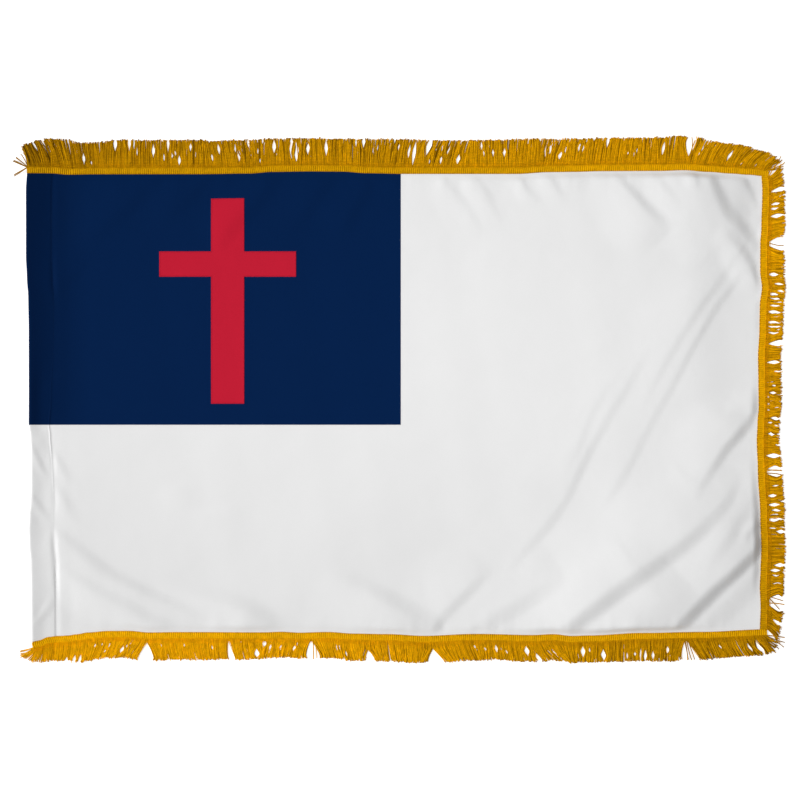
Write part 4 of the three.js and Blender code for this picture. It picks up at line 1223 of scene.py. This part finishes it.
class FLAG_OT_sew_fringe(bpy.types.Operator):
    """Sew the three lengths of gold fringe along the top, the fly and the bottom"""

    bl_idname = "flag.sew_fringe"
    bl_label = "Sew the Fringe"

    def execute(self, context):
        fringe, colours = context.scene.flag_fringe, context.scene.flag_colours
        tones = [tuple(c) for c in (colours.gold_dark_and_shade, colours.gold, colours.gold_bright)]
        golds = {"strands": gold_material("gold_strands", tones, 18)}
        # The band's gold, at 0.7 of the gold, is painted shade in the gaps between the ribs and under the
        # skirt's threads; the inner edge cord shares it.
        plain = (("ribs", 0.89, tones[2]), ("band", 0.7, tones[1]), ("skirt", 0.92, tones[1]))
        for part, share, tone in plain:
            golds[part] = gold_material(f"gold_{part}", [tuple(share * c for c in tone)] * 3)
        for trim in TRIMS:
            for make_part in (self.strands, self.heading):
                finish_piece(make_part(trim, fringe, golds), f"fringe_{trim.side}")
        return {"FINISHED"}

    def at(self, trim, place, out, z):
        """Points of the frame at a place along an edge of the cloth, so far out past it."""
        if trim.side == "fly":
            return placed(CLOTH_LENGTH + out, place, z, trim.hoist)
        return placed(place, CLOTH_HEIGHT + out if trim.side == "top" else -out, z, trim.hoist)

    def root_height(self, trim, place):
        """The height, in mm, of the cloth's face where a trim is sewn on."""
        return np.full(place.shape, LYING + 0.3) if trim.side == "fly" else top_of_cloth(place, 0.6)

    def clumps(self, place, width, rng):
        """The middle of each strand's clump, and the number of the clump."""
        widths = width * rng.uniform(*CLUMP_WIDTHS, int((place.max() - place.min()) / width * 3) + 8)
        ends = place.min() + np.cumsum(widths)
        which = np.searchsorted(ends, place)
        starts = np.concatenate([[place.min()], ends])
        return (starts[which] + ends[which]) / 2, which

    def strands(self, trim, fringe, golds):
        """Two layers of strands that lie in clumps, part at the partings and turn as their table says."""
        rng = np.random.default_rng(trim.seed)
        layers = [self.layer(trim, fringe, kind, rng) for kind in (LOWER, UPPER)]
        layers.append(self.loose(trim, rng))
        values = {name: np.concatenate([layer[name] for layer in layers]) for name in layers[0]}
        mesh = grown(
            guide_points(values.pop("root"), values), "Fringe strands",
            thickness=fringe.strand, points=fringe.points, sides=4, material=golds["strands"],
        )
        return new_object(f"{trim.side}_fringe_strands", mesh)

    def layer(self, trim, fringe, kind, rng):
        """One layer of strands."""
        spacing = fringe.spacing / MM * kind.spacing
        start, end = trim.ends
        place = np.arange(start + 1, end - 0.5, spacing)
        place = place + rng.uniform(-ROOT_STRAY, ROOT_STRAY, place.shape) * spacing
        middle, which = self.clumps(place, fringe.clump / MM, rng)
        clump_count = which.max() + 1
        turn = along(trim.strands, 1, place) + rng.normal(0, kind.turn, place.shape)
        if kind.clump_turn:
            tangled = sum(most * (1 - eased(abs(place - at) / reach)) for at, reach, most in trim.tangles)
            turn += rng.normal(0, 1, clump_count)[which] * (kind.clump_turn + tangled)
        reach = along(trim.strands, 2, place) - REACH_LESS + rng.normal(0, REACH_STRAY, place.shape)
        reach -= rng.exponential(SHORT_BY, place.shape) * (rng.random(place.shape) < SHORT_SHARE)
        sway = kind.free * rng.normal(0, trim.sway, clump_count)[which]
        bow = kind.free * rng.normal(0, trim.sway * 0.8, clump_count)[which]
        aside = [
            kind.free * gathered * (middle - place) + (swayed * sway + bowed * bow)
            for gathered, swayed, bowed in zip(trim.gather, SWAYS, BOWS)
        ]
        clump_tone, strand_tone = rng.random(clump_count)[which], rng.random(place.shape)
        darkest, by_clump, by_strand = kind.shade
        shade = darkest + by_clump * clump_tone + by_strand * strand_tone
        return self.laid(trim, kind, place, turn, reach, aside, shade, rng)

    def loose(self, trim, rng):
        """The strands that lie singly over the others or in the partings."""
        place, turn, reach, bow = trim.loose.T
        shade = rng.uniform(*LOOSE.shade, place.shape)
        return self.laid(trim, LOOSE, place, turn, reach, [bow * 0.7, bow, 0 * bow], shade, rng)

    def laid(self, trim, kind, place, turn, reach, aside, shade, rng):
        """Where strands root, bend and end: out from the edge by their reach and turned, and pushed aside."""
        high = self.root_height(trim, place)
        over_sleeve = np.clip(high - 2, 0, None)
        root = self.at(trim, place, 0 * place - ROOT_IN, high + ROOT_LIFT + 0.9 * kind.lift)
        # The painted light and shade along the edge, which also moves the strand's shade.
        tone = along(trim.tones, 1, place)
        made = {
            "root": root,
            "girth": rng.uniform(*GIRTHS, place.shape) * kind.girth,
            "shade": np.clip(shade + SHADE_BY_PAINTED_LIGHT * (tone - 1), 0, 1),
            "tone": np.minimum(tone, BRIGHTEST_PAINTED_LIGHT),
        }
        stray, stray_of_free = BEND_STRAY
        for (name, (far, turned, hangs)), pushed in zip(BENDS.items(), aside):
            angle = np.radians(max(turned, kind.straight) * turn)
            shaken = pushed + far * rng.normal(0, stray + stray_of_free * kind.free, place.shape)
            rise = STRAND_LIFT + kind.lift + rng.exponential(RISE_STRAY, place.shape) + over_sleeve * hangs
            sideways, out = far * reach * np.sin(angle), far * reach * np.cos(angle)
            made[name] = self.at(trim, place + sideways + shaken, out, rise) - root
        push, made["parted_at"], made["parted_over"] = self.partings(trim.partings, place, turn, reach)
        edge = np.array([0.0, 1, 0]) if trim.side == "fly" else np.array([1.0, 0, 0])
        made["parted"] = (push * MM * (1 - kind.straight))[:, None] * edge
        return made

    def partings(self, rows, place, turn, reach):
        """How far each strand is pushed aside by its nearest parting, and where along it."""
        push, middle, half = np.zeros(place.shape), np.full(place.shape, 0.5), np.ones(place.shape)
        share, extra = PARTING_WIDTH
        by_width, least = PARTING_REACH
        for at, out, over, width in rows:
            width, over = share * width + extra, PARTING_LENGTH * over
            beside = place + out * reach * np.sin(np.radians(turn * (0.45 + 0.55 * out))) - at
            fade = 1 - eased(abs(beside) / (least + by_width * width))
            found = np.sign(beside) * (width + PARTING_CLEARANCE) / 2 * fade
            nearer = abs(found) > abs(push)
            push[nearer], middle[nearer], half[nearer] = found[nearer], out, over
        return push, middle, half

    def edge_paths(self, trim, out, lift, falls=0, column=2):
        """A mesh of paths along an edge, with their painted light and shade. They stop at the join of the
        trim's heading.
        """
        start, end = trim.ends
        stretches = [(start, trim.join - 1), (trim.join + 1, end)] if trim.join else [(start, end)]
        paths, tones = [], []
        for stretch in stretches:
            place = steps(*stretch, longest=HEADING_STEP)
            high = self.root_height(trim, place)
            z = high + lift + falls * (1 - high)
            paths.append(self.at(trim, place, np.full(place.shape, float(out)), z))
            tones.append(along(trim.tones, column, place))
        return guide_paths(paths, tones)

    def heading(self, trim, fringe, golds):
        """The ribbed heading over its band, whose darker gold is painted shade between the ribs, an edge cord
        on either side, and the threads of the skirt.
        """
        pitch = fringe.rib_spacing
        band, *cords = (
            grown(
                self.edge_paths(trim, *path), "Cord along a path", width=width * MM, height=height * MM,
                sides=sides, material=golds[gold],
            )
            for *path, gold, width, height, sides in HEADING_CORDS
        )
        ribs = grown(
            self.edge_paths(trim, *RIBS), "Ribs along a path", spacing=pitch, along=pitch * 0.86,
            across=0.0088, height=0.0015, slant=math.radians(4), material=golds["ribs"],
        )
        row = grown(
            self.edge_paths(trim, *INNER_ROW), "Row along a path",
            spacing=pitch * (2 if trim.side == "fly" else 1), along=pitch * 0.9, across=0.0026,
            height=0.0018, material=golds["ribs"],
        )
        return joined(f"{trim.side}_fringe_heading", [band, ribs, row, *cords])


class FLAG_OT_declare_cloth(bpy.types.Operator):
    """Does nothing: it names no piece as a sheet of cloth and gives no sizes they were cut to"""

    bl_idname = "flag.declare_cloth"
    bl_label = "Declare the Cloth"

    def execute(self, context):
        return {"FINISHED"}


class FLAG_OT_set_stage(bpy.types.Operator):
    """Set the floor, the light and the camera"""

    bl_idname = "flag.set_stage"
    bl_label = "Set the Stage"

    def execute(self, context):
        scene, stage = context.scene, context.scene.flag_stage
        self.lay_floor(stage)
        self.hang_lights(scene, stage)
        self.aim_camera(scene, stage)
        scene.view_settings.view_transform = "Standard"
        return {"FINISHED"}

    def lay_floor(self, stage):
        half, below = 9.0, -0.0005
        mesh = bpy.data.meshes.new("floor")
        corners = [(-half, -half, below), (half, -half, below), (half, half, below), (-half, half, below)]
        mesh.from_pydata(corners, [], [(0, 1, 2, 3)])
        mesh.materials.append(floor_material(linear("ececec"), stage.floor_glow))
        new_object("floor", mesh)

    def hang_lights(self, scene, stage):
        lamp = bpy.data.lights.new("key", "SUN")
        lamp.energy = stage.key_light
        lamp.angle = math.radians(24)
        towards = Vector((math.cos(stage.key_elevation), 0, -math.sin(stage.key_elevation)))
        new_object("key", lamp).rotation_euler = towards.to_track_quat("-Z", "Y").to_euler()
        lamp = bpy.data.lights.new("top", "AREA")
        lamp.shape, lamp.size, lamp.size_y, lamp.energy = "RECTANGLE", 1.5, 0.3, stage.top_light
        top = new_object("top", lamp)
        top.location = stage.top_light_place
        top.visible_camera = False
        scene.world = bpy.data.worlds.new("studio")
        scene.world.use_nodes = True
        nodes = Nodes(scene.world.node_tree)
        seen = nodes.add("ShaderNodeLightPath").outputs["Is Camera Ray"]
        sky = nodes.tree.nodes["Background"]
        nodes.fill(sky, {"Color": (1, 1, 1, 1), "Strength": nodes.ranged(seen, 0.0, 1.0, stage.sky_light)})

    def aim_camera(self, scene, stage):
        lens = bpy.data.cameras.new("view")
        lens.lens, lens.sensor_width = 100, 36
        scene.camera = new_object("view", lens)
        distance = stage.view_width / 2 / (lens.sensor_width / 2 / lens.lens)
        scene.camera.location = Vector(stage.view_centre) + Vector((0, 0, distance))


# ---- Panel and registration ----


class FLAG_PT_pieces(bpy.types.Panel):
    """The flag's pieces and their sizes"""

    bl_idname = "FLAG_PT_pieces"
    bl_label = "Fringed Flag"
    bl_space_type = "VIEW_3D"
    bl_region_type = "UI"
    bl_category = "Flag"

    def draw(self, context):
        column = self.layout.column()
        for operator in OPERATORS:
            column.operator(operator.bl_idname)
        for name, kind in PROPERTIES.items():
            for size in kind.__annotations__:
                column.prop(getattr(context.scene, name), size)


OPERATORS = (
    FLAG_OT_lay_field,
    FLAG_OT_lay_canton,
    FLAG_OT_lay_cross,
    FLAG_OT_sew_sleeve,
    FLAG_OT_sew_fringe,
    FLAG_OT_declare_cloth,
    FLAG_OT_set_stage,
)
PROPERTIES = {
    "flag_cloth": FlagCloth,
    "flag_fringe": FlagFringe,
    "flag_colours": FlagColours,
    "flag_stage": FlagStage,
}


def register():
    for made in (*PROPERTIES.values(), *OPERATORS, FLAG_PT_pieces):
        bpy.utils.register_class(made)
    for name, group in PROPERTIES.items():
        setattr(bpy.types.Scene, name, PointerProperty(type=group))


def unregister():
    for name in PROPERTIES:
        delattr(bpy.types.Scene, name)
    for made in (FLAG_PT_pieces, *reversed(OPERATORS), *PROPERTIES.values()):
        bpy.utils.unregister_class(made)


def main():
    register()
    strands_tree()
    row_tree("Row along a path", False)
    row_tree("Ribs along a path", True)
    cord_tree()
    bpy.ops.flag.lay_field()
    bpy.ops.flag.lay_canton()
    bpy.ops.flag.lay_cross()
    bpy.ops.flag.sew_sleeve()
    bpy.ops.flag.sew_fringe()
    bpy.ops.flag.declare_cloth()
    bpy.ops.flag.set_stage()


if __name__ == "__main__":
    main()
